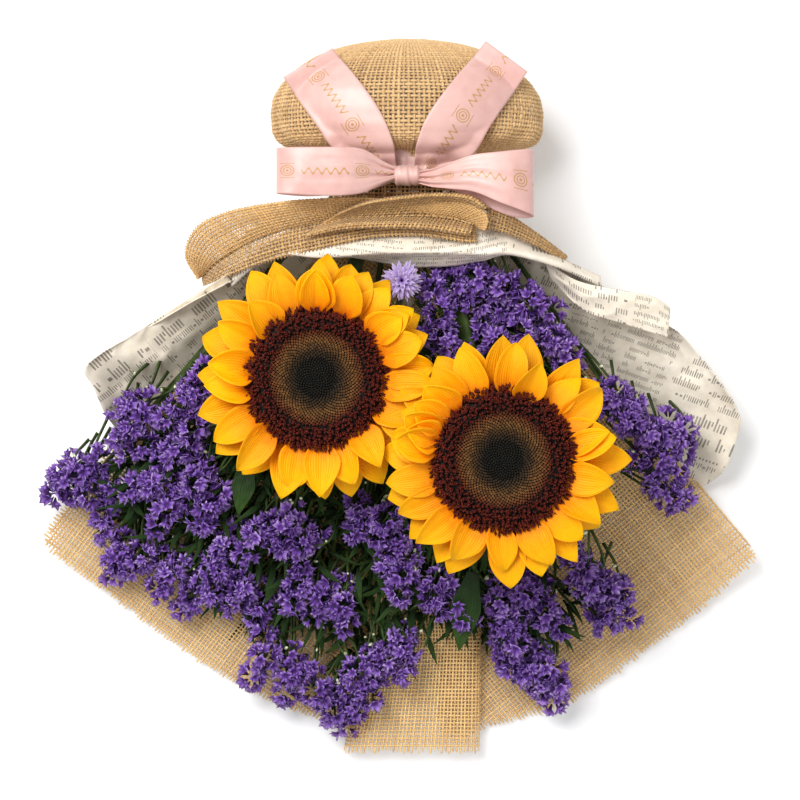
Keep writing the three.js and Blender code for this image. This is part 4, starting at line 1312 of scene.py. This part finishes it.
# Open outer floret with a pollen column, closed middle bud with a pale square rim, small centre bud.
openFloret = ringShape([(0.58, 0.8, 0.1, 1), (1.25, 4.0, 0.9, 0.5), (0.5, 3.1, 0.2, 1), (0.42, 4.8, 0.55, 1),
                        (0.5, 5.4, 1.0, 0.55)], 8)
squareBud = ringShape([(0.93, 0.6, 0.2, 1), (0.74, 1.9, 1.0, 1), (0.42, 1.95, 0.9, 1), (0.26, 1.3, 0.0, 1)],
                      6)
centreBud = ringShape([(0.78, 0.4, 0.1, 1), (0.6, 1.4, 0.6, 1), (0.2, 2.0, 1.0, 1)], 6)


# The face of the disc: a little sunk in the middle, falling at its rim.
def discHeight(r):
    return np.interp(r, [0, 12, 24, 33, 37, 39.5], [-4.6, -4.2, -3.2, -3.0, -4.4, -6.5])


disc = {
    "florets": 2300,
    "radius": 38.4,      # of the outermost floret
    "edge": 38.6,        # of the dark body under them
    "openFrom": 25.5,    # the open florets start here
    "budsTo": 11.5,      # and the small centre buds end here
    "turn": 137.508,     # degrees from one floret to the next
    "body": [(0.0, -10.0), (30, -10.0), (37.5, -9.0), (38.6, -6.6), (36.5, -4.9), (33, -3.4), (24, -3.6),
             (12, -4.6), (0.0, -5.0)],
}


# A dark body with florets on it in a sunflower spiral: the radius goes with the square root of the
# floret's number, and each is a fixed turn on from the last. The outer ones stand less evenly.
def addDisc(name, centre, pick):
    angle = np.linspace(0, 2 * np.pi, 60, endpoint=False)
    body = np.stack([np.stack([r * np.cos(angle), r * np.sin(angle), np.full(60, z)], -1) for r,
                     z in disc["body"]])
    bodyFaces = gridFaces(len(disc["body"]), 60, True)
    bodyFaces = np.concatenate([bodyFaces[:, [0, 1, 2]], bodyFaces[:, [0, 2, 3]]])
    total, edge = disc["florets"], disc["edge"]
    k = np.arange(total) + 0.5
    r = disc["radius"] * np.sqrt(k / total)
    turn = np.radians(disc["turn"]) * k
    r = r + np.where(r > 26, 0.35, 0.06) * pick.uniform(-1, 1, total)
    lean = np.interp(r, [0, 12, 24, 30, 36, edge], [-0.25, -0.35, -0.3, 0.05, 0.55, 0.95])
    lean = lean + np.where(r > 26, 0.3, 0.05) * pick.uniform(-1, 1, total)
    normal = np.stack([np.sin(lean) * np.cos(turn), np.sin(lean) * np.sin(turn), np.cos(lean)], -1)
    normal += np.where(r > 26, 0.22, 0.03)[:, None] * pick.normal(0, 1, (total, 3))
    feet = np.stack([r * np.cos(turn), r * np.sin(turn), discHeight(r)], -1)
    count = body.size // 3
    points, faces = [body.reshape(-1, 3)], [bodyFaces]
    zones, tones, along = [np.full(count, 0.2)], [np.zeros(count)], [np.zeros(count)]
    inner, outer = r < disc["budsTo"], r > disc["openFrom"]
    kinds = ((inner, centreBud, 0.84), (~inner & ~outer, squareBud, 0.78), (outer, openFloret, 0.78))
    for chosen, (shape, shapeFaces, run), size in kinds:
        n = int(chosen.sum())
        scale = size * (1 + np.where(outer[chosen], 0.16, 0.04) * pick.uniform(-1, 1, n))
        if shape is openFloret[0]:
            scale = scale * np.interp(r[chosen], [disc["openFrom"], 29, 36, edge], [0.72, 1.0, 1.0, 0.86])
        turns = frames(normal[chosen], turn[chosen] + np.pi / 4)
        p, f = scatter(shape, shapeFaces, feet[chosen], turns, scale)
        points.append(p)
        faces.append(f + count)
        count += len(p)
        zones.append(np.repeat(r[chosen] / edge, len(shape)))
        tone = np.where(inner[chosen], (pick.random(n) < 0.25) * 1.4, pick.random(n))
        tones.append(np.repeat(tone, len(shape)))
        along.append(np.tile(run, n))
    points = np.concatenate(points) + np.array(centre)
    values = {"zone": np.concatenate(zones), "tone": np.concatenate(tones), "along": np.concatenate(along)}
    addMesh(name + "_disc_florets", points, np.concatenate(faces), floretMaterial,
            [name + "_disc"], values, smooth=False)


calyx = {
    "profile": [(0.01, -32), (7.5, -32), (12, -30.5), (22, -25.5), (31, -19.5), (34, -15.5), (33, -13),
                (28, -12.2),
                (0.01, -12)],
    "bracts": 44,   # in two rows by turns
}


# The green cup under the head, a profile turned round its axis with 20 ribs, and its pointed bracts.
def addCalyx(name, centre, pick):
    profile, total = np.array(calyx["profile"]), calyx["bracts"]
    line = curve(profile, 40)
    angle = np.linspace(0, 2 * np.pi, 90, endpoint=False)[None]
    r = line[:, :1] * (1 + 0.02 * np.cos(20 * angle))
    cup = np.stack([r * np.cos(angle), r * np.sin(angle), line[:, 1:] + 0 * angle], -1)
    sheets = []
    for k in range(total):
        row = k % 2
        angle = 2 * np.pi * k / total + pick.uniform(-0.05, 0.05)
        length = 17.0 - 3 * row + pick.uniform(-2, 2)
        pitch = 0.75 + pick.uniform(-0.15, 0.1) - 0.2 * row
        grid, along, across = petal(np.array([0, 0, -24.0 + 5 * row]), angle, root=22.0 + 8 * row,
                                    length=length,
                                    half=4.6, pitch=pitch, bend=0.5, cup=0.12, twist=pick.uniform(-0.3, 0.3),
                                    sway=0.0, point=1.1, rows=10, columns=5)
        sheets.append((grid, 0.5, {"along": along, "across": across, "tone": pick.random()}))
    points, faces, values = sheetSet(sheets)
    n = cup.size // 3
    points = np.concatenate([cup.reshape(-1, 3), points]) + np.array(centre)
    faces = np.concatenate([gridFaces(40, 90, True), faces + n])
    onCup = {"along": 0.2, "across": 0.0, "tone": 0.4}
    values = {key: np.concatenate([np.full(n, onCup[key]), values[key]]) for key in onCup}
    addMesh(name + "_calyx_bracts", points, faces, bractGreen, [name + "_calyx"], values)


sunflowers = {
    # where its head's middle is, where its short petals stand, and where its stem turns up
    "sunflower_1": {"centre": (-45.0, 12.0, 112.0), "seed": 101, "short": (10, 95), "end": (-45, 12, 58)},
    "sunflower_2": {"centre": (55.0, -32.0, 124.0), "seed": 137, "short": (60, 175), "end": (55, -32, 60)},
}
for name, flower in sunflowers.items():
    pick, centre = np.random.default_rng(flower["seed"]), flower["centre"]
    addDisc(name, centre, pick)
    petalRow(name + "_petals_outer", name + "_ray_outer", centre, 20, outerRays, pick)
    petalRow(name + "_petals_middle", name + "_ray_inner", centre, 18, middleRays, pick)
    petalRow(name + "_petals_short", name + "_ray_inner", centre, 6, {**shortRays, "only": flower["short"]},
             pick)
    addCalyx(name, centre, pick)
print("sunflowers done")

# Stems.

stemMaterial, tree, shader = newMaterial("stemGreen", 0.55)
paint(tree, shader, ramp(tree, noise(tree, place(tree), 130.0, 4.0),
                         [(0.3, srgb(34, 46, 18)), (0.7, srgb(68, 88, 36))]))
bump(tree, shader, noise(tree, place(tree), 900.0, 3.0), 0.0002, 0.6)

# How the stems draw together towards the neck, by y.
stems = {
    "y": [-160, -20, 120, 200],
    "spreadX": [1.72, 1, 28 / 122, 28 / 122],    # distance from the axis, against what it is at y = -20
    "spreadZ": [1, 1, 0.597, 0.597],
    "middleZ": [34, 34, axisHeight, axisHeight],
    "overWrap": 7.5,
    "stops": [172, 150, 124, 100, 70, 40, 10, -20, -50, -80, -110, -140],
}


# One of those values at y, on straight lines between its points.
def spread(y, key):
    return np.interp(y, stems["y"], stems[key])


# Where the stem that ends at end is at y: its offset from the middle scales with the spread, kept above
# the wrap.
def stemPoint(end, y):
    x = (end[0] - axisX) * spread(y, "spreadX") / spread(end[1], "spreadX") + axisX
    up = (end[2] - spread(end[1], "middleZ")) / spread(end[1], "spreadZ")
    z = spread(y, "middleZ") + up * spread(y, "spreadZ")
    lowest = float(troughHeight(np.array(x), np.array(float(y)))) + stems["overWrap"] if y < neckY else 0.0
    return (x, y, max(z, lowest))


# The stem's points from its foot in the pouch to its end, turning up to topZ if it carries a head.
def stemPath(end, topZ=0.0):
    points = [stemPoint(end, y) for y in stems["stops"] if y > end[1] + 12]
    if topZ:
        x, y, z = end
        return points + [(x, y + 5, z + 7), (x, y, z + 20), (x, y, topZ)]
    return points + [end]


# Stems along paths, with three low ridges, getting a third thinner towards their ends.
def addStem(name, node, paths, radius):
    taper = radius * np.linspace(1.1, 0.75, 70)
    points, faces = merged([tube(curve(path, 70), taper, 12, 0.22) for path in paths])
    addMesh(name, points, faces, stemMaterial, [node])


for name, flower in sunflowers.items():
    addStem(name + "_stalk", name + "_stem", [stemPath(flower["end"], flower["centre"][2] - 31)], 4.6)
addStem("aster_stalk", "aster_stem", [stemPath((3, 70, 62)) + [(2, 66, 76), (1, 65, 88)]], 1.6)

# Each statice stem's end, then its branches: the y where one leaves the stem, and its own end.
staticeStems = [
    [(-176, -46, 20)],
    [(-146, -14, 34), (20, (-116, -8, 45))],
    [(-138, -94, 16), (-30, (-120, -56, 32))],
    [(-92, -102, 20), (-30, (-66, -74, 45))],
    [(-50, -158, 14), (-60, (-42, -110, 32))],
    [(-8, -150, 22), (-40, (0, -88, 46))],
    [(74, -154, 18), (-60, (66, -114, 36))],
    [(110, -102, 30)],
    [(142, -24, 32)],
    [(70, 40, 56), (75, (32, 58, 58))],
]
for number, (end, *branches) in enumerate(staticeStems, 1):
    paths = [stemPath(end)]
    for fromY, branchEnd in branches:
        start = stemPoint(end, fromY)
        knee = [(start[0] + branchEnd[0]) / 2, (start[1] + branchEnd[1]) / 2, max(start[2], branchEnd[2]) - 4]
        paths.append([start, knee, branchEnd])
    addStem("statice_stem_%d_winged" % number, "statice_stem_%d" % number, paths, 1.5)
print("stems done")

# Statice.

staticeColours = [(0.0, srgb(50, 60, 32)), (0.16, srgb(52, 30, 80)), (0.42, srgb(98, 58, 144)),
                  (0.66, srgb(144, 102, 194)), (0.92, srgb(214, 184, 236))]


# Papery violet, green at the foot and pale at the frilled rim, partly as a painted highlight, with painted
# light and shade on the pleats, and a tone of its own for each calyx that also holds painted shade: darker
# towards a tuft's middle.
def staticePaper():
    material, tree, shader = newMaterial("staticeViolet", 0.75)
    crumpled = noise(tree, place(tree), 700.0, 3.0)
    run = times(tree, attribute(tree, "along"), 0.8)
    run = plus(tree, run, scaled(tree, attribute(tree, "tone"), 0.3, -0.15))
    run = plus(tree, run, scaled(tree, crumpled, 0.3, -0.15))
    paint(tree, shader, ramp(tree, run, staticeColours))
    translucent(shader, 0.12, (0.002, 0.001, 0.003))
    bump(tree, shader, crumpled, 0.0003, 0.6)
    return material


staticeMaterial = staticePaper()


# A papery funnel with ruffled, pleated lobes, 12 or 14 points round: outside up to the rim, then back
# down inside.
def calyxShape(seed):
    pick = np.random.default_rng(seed)
    sides = 14 if seed % 2 else 12
    angle = np.linspace(0, 2 * np.pi, sides, endpoint=False)
    levels = [(0.4, 0.0, 0.0, 0.0), (1.5, 4.1, 0.42, 0.35), (3.9, 6.2, 1.0, 1.0), (1.3, 3.7, 0.3, 0.4)]
    phase = pick.uniform(0, 6.28)
    pleat = np.where(np.arange(sides) % 2, 0.5, -0.5)
    jag = pick.uniform(-0.45, 0.45, sides)
    rings, along = [], []
    for r, z, a, ruffle in levels:
        lobe = 1 + ruffle * (0.1 * np.cos(5 * angle) + 0.12 * np.cos(2 * angle + phase) + 0.2 * jag + 0.36
                             * pleat)
        wave = ruffle * (0.5 * np.cos(5 * angle + phase) + np.cos(2 * angle + 2 * phase) + jag + pleat)
        rings.append(np.stack([r * lobe * np.cos(angle), r * lobe * np.sin(angle), z + wave], -1))
        # Painted light and shade: pleat ridges and jags that stand out get a higher run and so a paler
        # colour, and the folds between them get a darker one.
        along.append(np.clip(a + ruffle * (0.25 * jag + 0.36 * pleat), 0, 1) * np.ones(sides))
    points = np.concatenate(rings + [[[0, 0, -0.1]], [[0, 0, 2.2]]])
    return points, closedRings(len(levels), sides), np.concatenate(along + [[0.0], [0.3]])


calyxShapes = [calyxShape(seed) for seed in range(4)]
goldenAngle = 2.39996

# Tufts of each spray: x, y, z, radius.
sprays = [
    [(-192, -44, 27, 12), (-181, -41, 32, 13), (-176, -53, 30, 12), (-169, -66, 24, 11)],
    [(-153, -3, 44, 11), (-152, -14, 44, 11), (-146, -25, 40, 11)],
    [(-122, -3, 55, 12), (-116, -16, 54, 12), (-111, 9, 58, 10), (-125, -27, 48, 11)],
    [(-141, -48, 42, 13), (-131, -61, 40, 13), (-114, -46, 48, 13), (-108, -60, 45, 12)],
    [(-160, -91, 24, 12), (-146, -89, 27, 13), (-131, -100, 26, 13), (-119, -112, 22, 12)],
    [(-105, -98, 30, 13), (-91, -107, 28, 13), (-79, -116, 23, 11), (-99, -83, 37, 12)],
    [(-80, -75, 54, 12), (-65, -73, 58, 12), (-54, -80, 54, 11)],
    [(-56, -104, 43, 12), (-45, -111, 40, 11), (-34, -117, 39, 12)],
    [(-78, -147, 24, 13), (-62, -156, 24, 13), (-47, -165, 25, 13), (-38, -178, 21, 13)],
    [(-24, -154, 32, 13), (-9, -148, 32, 14), (3, -143, 32, 11), (-18, -169, 25, 11)],
    [(-21, -65, 62, 11), (-8, -66, 64, 12), (-4, -82, 58, 12), (2, -98, 55, 12), (17, -109, 50, 11),
     (31, -114, 46, 11)],
    [(56, -112, 47, 12), (70, -108, 48, 13), (82, -120, 42, 13), (62, -127, 40, 12)],
    [(101, -95, 50, 13), (115, -104, 42, 13), (126, -116, 34, 11), (113, -120, 32, 11)],
    [(61, -145, 30, 12), (72, -154, 27, 13), (84, -152, 27, 12), (82, -164, 21, 11)],
    [(121, 3, 52, 12), (128, -13, 50, 13), (143, -19, 45, 14), (159, -19, 41, 12), (145, -37, 40, 14),
     (151, -54, 34, 12)],
    [(28, 64, 69, 12), (42, 68, 69, 12), (22, 48, 73, 12), (26, 31, 71, 12), (42, 54, 66, 12)],
    [(58, 62, 68, 12), (72, 53, 66, 13), (66, 38, 68, 13), (85, 34, 60, 13), (92, 22, 56, 11),
     (54, 32, 68, 12)],
]


# Tufts of calyxes: they look away from the tuft's middle, in a golden-angle spiral from its top down to a
# little under its middle, at about half its radius.
def addSpray(name, node, tufts, seed):
    pick = np.random.default_rng(seed)
    points, faces, along, tones, count = [], [], [], [], 0
    for x, y, z, r in tufts:
        n = int(19 * (r / 8) ** 2) + 3
        k = np.arange(n) + 0.5
        height = 1 - 1.45 * k / n
        ring = np.sqrt(np.maximum(1 - height ** 2, 0))
        turn = goldenAngle * k + pick.uniform(0, 6)
        normal = np.stack([ring * np.cos(turn), ring * np.sin(turn), height], -1)
        normal = unit(normal + 0.3 * pick.normal(0, 1, (n, 3)))
        shell = pick.uniform(0.32, 0.74, n)[:, None] * r * np.array([1, 1, 0.85])
        where = np.array([x, y, z]) + normal * shell
        scale = pick.uniform(0.66, 1.0, n)
        which = pick.integers(0, 4, n)
        for q, (shape, shapeFaces, runs) in enumerate(calyxShapes):
            chosen = which == q
            m = int(chosen.sum())
            turns = frames(unit(normal[chosen] + np.array([0, 0, 0.12])), pick.uniform(0, 6.28, m))
            p, f = scatter(shape, shapeFaces, where[chosen], turns, scale[chosen])
            points.append(p)
            faces.append(f + count)
            count += len(p)
            along.append(np.tile(runs, m))
            # Painted shade: a calyx's tone rises with its distance from the tuft's middle, so inner calyxes
            # are darker and outer ones lighter.
            paintedLightOutward = np.clip(np.linalg.norm(where[chosen] - [x, y, z], axis=1) / r, 0, 1)
            tones.append(np.repeat(pick.random(m) * 0.7 + 0.45 * paintedLightOutward, len(shape)))
    addMesh(name, np.concatenate(points), np.concatenate(faces), staticeMaterial, [node],
            {"along": np.concatenate(along), "tone": np.concatenate(tones)}, smooth=False)


# Each tuft is split into a middle one and two smaller ones, before and behind it along the stems.
for k, tufts in enumerate(sprays):
    pick = np.random.default_rng(300 + k)
    split = []
    for x, y, z, r in tufts:
        angle = math.atan2(neckY - 10 - y, -x) + pick.uniform(-0.5, 0.5)
        split.append((x, y, z + 0.1 * r, 0.58 * r))
        for q in range(2):
            turn = angle + q * 3.14 + pick.uniform(-0.45, 0.45)
            away = r * pick.uniform(0.72, 1.0)
            height = z - 0.2 * r + pick.uniform(-4, 3)
            split.append((x + away * np.cos(turn), y + away * np.sin(turn), height,
                          r * pick.uniform(0.36, 0.5)))
    addSpray("statice_calyxes_%d" % (k + 1), "statice_bloom_%d" % (k + 1), split, 400 + k)

# Between the tufts: twigs from each one back towards the neck, pale buds on them, and narrow leaves.
undergrowth = {
    "twigsEach": 5,
    "twigReach": (20, 42),
    "tries": 5200,            # places tried for a leaf
    "fromEdge": 19,           # no leaves nearer than this to the edge of the blooms
    "leafLength": (12, 24),
    "leafHalf": (0.8, 1.9),
    "overWrap": 3.4,
}
pick = np.random.default_rng(77)
twigs, greens, buds = [], [], []
allTufts = [t for tufts in sprays for t in tufts]


# Direction in plan along the stems at a point: towards a place a little under the neck.
def towardsNeck(x, y):
    return math.atan2(neckY - 10 - y, axisX - x * 0.9)


for x, y, z, r in allTufts:
    for _ in range(undergrowth["twigsEach"]):
        angle = towardsNeck(x, y) + pick.uniform(-0.6, 0.6)
        start = np.array([x + pick.uniform(-4, 4), y + pick.uniform(-4, 4), z])
        reach = pick.uniform(*undergrowth["twigReach"])
        end = start + np.array([math.cos(angle) * reach, math.sin(angle) * reach, -6 - 8 * pick.random()])
        end[2] = max(end[2], float(troughHeight(end[0:1], end[1:2])[0]) + 5)
        bow = (start + end) / 2 + np.array([pick.uniform(-4, 4), pick.uniform(-4, 4), 1.5])
        twigs.append(tube(curve([start, bow, end], 8), np.linspace(0.55, 0.95, 8), 6, 0.3))
        if pick.random() < 0.5:
            buds.append(bow + np.array([pick.uniform(-2, 2), pick.uniform(-2, 2), 1.5]))

# The leaves lie along the stems, low down: near a tuft, or anywhere in the middle of the bunch.
bloomEdge = curve([
    (-190, -50), (-170, -84), (-140, -108), (-84, -150), (-40, -168), (0, -158), (60, -150), (84, -156),
    (118, -116),
    (100, -70), (120, -30), (158, -40), (162, -16), (120, 10), (96, 40), (80, 66), (30, 74), (-30, 62),
    (-90, 40),
    (-130, 8), (-160, -6), (-190, -50)], 200)[:-1]
spots = np.stack([pick.uniform(-190, 165, undergrowth["tries"]),
                  pick.uniform(-165, 80, undergrowth["tries"])], -1)
spots = spots[edgeGap(spots[:, 0], spots[:, 1], bloomEdge)[0] > undergrowth["fromEdge"]]
tuftPlan = np.array([t[:3] for t in allTufts])
toTufts = np.hypot(spots[:, None, 0] - tuftPlan[None, :, 0], spots[:, None, 1] - tuftPlan[None, :, 1])
kept = (toTufts.min(1) < 17) | (np.hypot(spots[:, 0] - 5, spots[:, 1] + 20) < 105)
for (x, y), close, which in zip(spots[kept], toTufts.min(1)[kept], toTufts.argmin(1)[kept]):
    ground = float(troughHeight(np.array(x), np.array(y)))
    top = min(tuftPlan[which, 2] - 5, 62.0) if close < 30 else 50.0
    if top < ground + 6:
        continue
    z = pick.uniform(ground + 5, top)
    angle = towardsNeck(x, y) + np.pi + pick.normal(0, 0.6)
    length, half = pick.uniform(*undergrowth["leafLength"]), pick.uniform(*undergrowth["leafHalf"])
    pitch, twist, sway = pick.uniform(-0.1, 0.45), pick.uniform(-0.8, 0.8), pick.uniform(-0.2, 0.2)
    grid, along, across = petal(np.array([x, y, z]), angle, 0.0, length, half, pitch, 0.7, 0.25, twist, sway,
                                1.2, 6, 3)
    lowest = troughHeight(grid[..., 0], grid[..., 1]) + undergrowth["overWrap"]
    grid[..., 2] = np.maximum(grid[..., 2], lowest)
    greens.append((grid, 0.3, {"along": along, "across": across, "tone": pick.random()}))
points, faces = merged(twigs)
addMesh("statice_twigs", points, faces, stemMaterial, ["statice_stem_1"])
points, faces, values = sheetSet(greens)
addMesh("statice_leaves", points, faces, leafGreen, ["statice_stem_2"], values)
budLevels = [(0.35, 0, 0, 1), (0.8, 1.0, 0.4, 1), (0.75, 2.2, 0.8, 1), (0.25, 3.4, 1.0, 1)]
budShape, budFaces, budAlong = ringShape(budLevels, 8)
count = len(buds)
up = unit(np.stack([pick.normal(0, 0.5, count), pick.normal(0, 0.5, count), np.ones(count)], -1))
turns, scale = frames(up, pick.uniform(0, 6, count)), pick.uniform(0.8, 1.3, count)
points, faces = scatter(budShape, budFaces, np.array(buds), turns, scale)
values = {"along": np.tile(budAlong, count), "across": np.zeros(len(points)),
          "tone": np.repeat(pick.random(count), len(budShape))}
paleBud = leafMaterial("paleBud", [(92, 110, 52), (168, 178, 120), (222, 226, 196)], 2.0, 0.05, 0.6, 0.03)
addMesh("statice_buds", points, faces, paleBud, ["statice_stem_3"], values)
print("statice done")

# Aster, leaves, wet pack.

aster = {
    "centre": (1.0, 65.0, 91.5),
    # rays, their pitch and length
    "rows": [(26, 0.1, 10.0), (24, 0.45, 9.0), (20, 0.85, 7.6), (14, 1.2, 6.0)],
    "half": 1.05,
}
asterLilac = leafMaterial("asterLilac", [(150, 110, 190), (184, 152, 216), (214, 192, 236)], 3.0, 0.08, 0.6,
                          0.1)
pick = np.random.default_rng(88)
rays = []
for row, (count, pitch, length) in enumerate(aster["rows"]):
    centre = np.array(aster["centre"]) + np.array([0, 0, 0.8 * row])
    for k in range(count):
        angle = 2 * np.pi * (k + 0.3 * row) / count + pick.uniform(-0.1, 0.1)
        ownLength, ownPitch = length * pick.uniform(0.85, 1.1), pitch + pick.uniform(-0.15, 0.15)
        twist, sway = pick.uniform(-0.6, 0.6), pick.uniform(-0.15, 0.15)
        grid, along, across = petal(centre, angle, 1.6 - 0.3 * row, ownLength, aster["half"], ownPitch, 0.5,
                                    0.3,
                                    twist, sway, 1.6, 9, 5)
        rays.append((grid, 0.22, {"along": along, "across": across, "tone": pick.random()}))
points, faces, values = sheetSet(rays)
addMesh("aster_rays", points, faces, asterLilac, ["aster_bloom"], values)

# Two broad leaves: where each starts and ends, and half its width.
leaves = {
    "leaf_1": ((41, -96, 58), (31, -140, 36), 8.5),
    "leaf_2": ((-84, -36, 55), (-92, -64, 50), 6.5),
}
for name, (foot, tip, half) in leaves.items():
    foot, tip = np.array(foot, float), np.array(tip, float)
    direction = tip - foot
    length = np.linalg.norm(direction)
    pitch = math.asin(direction[2] / length) + 0.28
    angle = math.atan2(direction[1], direction[0])
    grid, along, across = petal(foot, angle, 0.0, length * 1.02, half, pitch, 0.55, 0.12, 0.25, 0.05, 1.25,
                                34, 17)
    grid[..., 2] += 0.4 * waves(along * 60, across * 9, 5, 14.0)
    points, faces, values = sheetSet([(grid, 0.5, {"along": along, "across": across, "tone": 0.7})])
    addMesh(name + "_blade", points, faces, leafGreen, [name], values)

# Wet wadding round the stem ends, inside the pouch: a lumpy ellipsoid.
wadding = {"middleY": 168, "half": (45, 21, 29), "lumps": 0.03}
wetMaterial, tree, shader = newMaterial("wetWadding", 0.75)
paint(tree, shader, ramp(tree, use(tree, mottle, scale=40.0),
                         [(0.0, srgb(196, 198, 184)), (1.0, srgb(226, 228, 216))]))
bump(tree, shader, noise(tree, place(tree), 500.0, 5.0), 0.001, 0.8)
angle = np.linspace(0, 2 * np.pi, 96, endpoint=False)[None]
level = np.linspace(0, np.pi, 50)[:, None]
size = 1 + wadding["lumps"] * waves(angle * 20 + 0 * level, level * 20 + 0 * angle, 99, 18.0)
halfX, halfY, halfZ = wadding["half"]
wad = np.stack([
    axisX + halfX * size * np.sin(level) * np.cos(angle),
    wadding["middleY"] + halfY * size * np.sin(level) * np.sin(angle),
    axisHeight + halfZ * size * np.cos(level)], -1)
addMesh("wet_wadding", wad, gridFaces(50, 96, True)[:, ::-1], wetMaterial, ["wet_pack"])
print("flowers done")

# Stage, camera, lights.

floorMaterial, tree, shader = newMaterial("floorWhite", 0.6)
paint(tree, shader, blend(tree, noise(tree, place(tree), 3.0, 2.0), srgb(252, 252, 252), srgb(247, 247, 248)))
floorMesh = bpy.data.meshes.new("floor")
reach = 6   # metres from the middle to the floor's edge
floorMesh.from_pydata([(-reach, -reach, 0), (reach, -reach, 0), (reach, reach, 0), (-reach, reach, 0)], [],
                      [(0, 1, 2, 3)])
floorMesh.materials.append(floorMaterial)
floor = bpy.data.objects.new("floor", floorMesh)
floor.location.z = -0.0002
bpy.context.scene.collection.objects.link(floor)

view = {"height": 1.5, "width": 0.464, "sensor": 36}   # straight down on this width, in metres
cameraData = bpy.data.cameras.new("camera")
cameraData.lens = view["sensor"] * view["height"] / view["width"]
camera = bpy.data.objects.new("camera", cameraData)
camera.location = (shift[0] * mm, shift[1] * mm, view["height"])
bpy.context.scene.collection.objects.link(camera)
bpy.context.scene.camera = camera

# Each lamp's place and width in metres, and its power in watts.
lamps = {
    "keyLight": ((-0.5, 0.55, 1.25), 0.7, 20.0),
    "fillLight": ((0.9, -0.6, 1.1), 1.4, 5.0),
}
for name, (where, size, power) in lamps.items():
    data = bpy.data.lights.new(name, "AREA")
    data.size = size
    data.energy = power
    lamp = bpy.data.objects.new(name, data)
    lamp.location = where
    lamp.rotation_euler = (Vector((0, 0, 0)) - Vector(where)).to_track_quat("-Z", "Y").to_euler()
    bpy.context.scene.collection.objects.link(lamp)
world = bpy.data.worlds.new("white")
bpy.context.scene.world = world
world.use_nodes = True
world.node_tree.nodes["Background"].inputs["Color"].default_value = (1, 1, 1, 1)
world.node_tree.nodes["Background"].inputs["Strength"].default_value = 0.6
bpy.context.scene.view_settings.view_transform = "Standard"
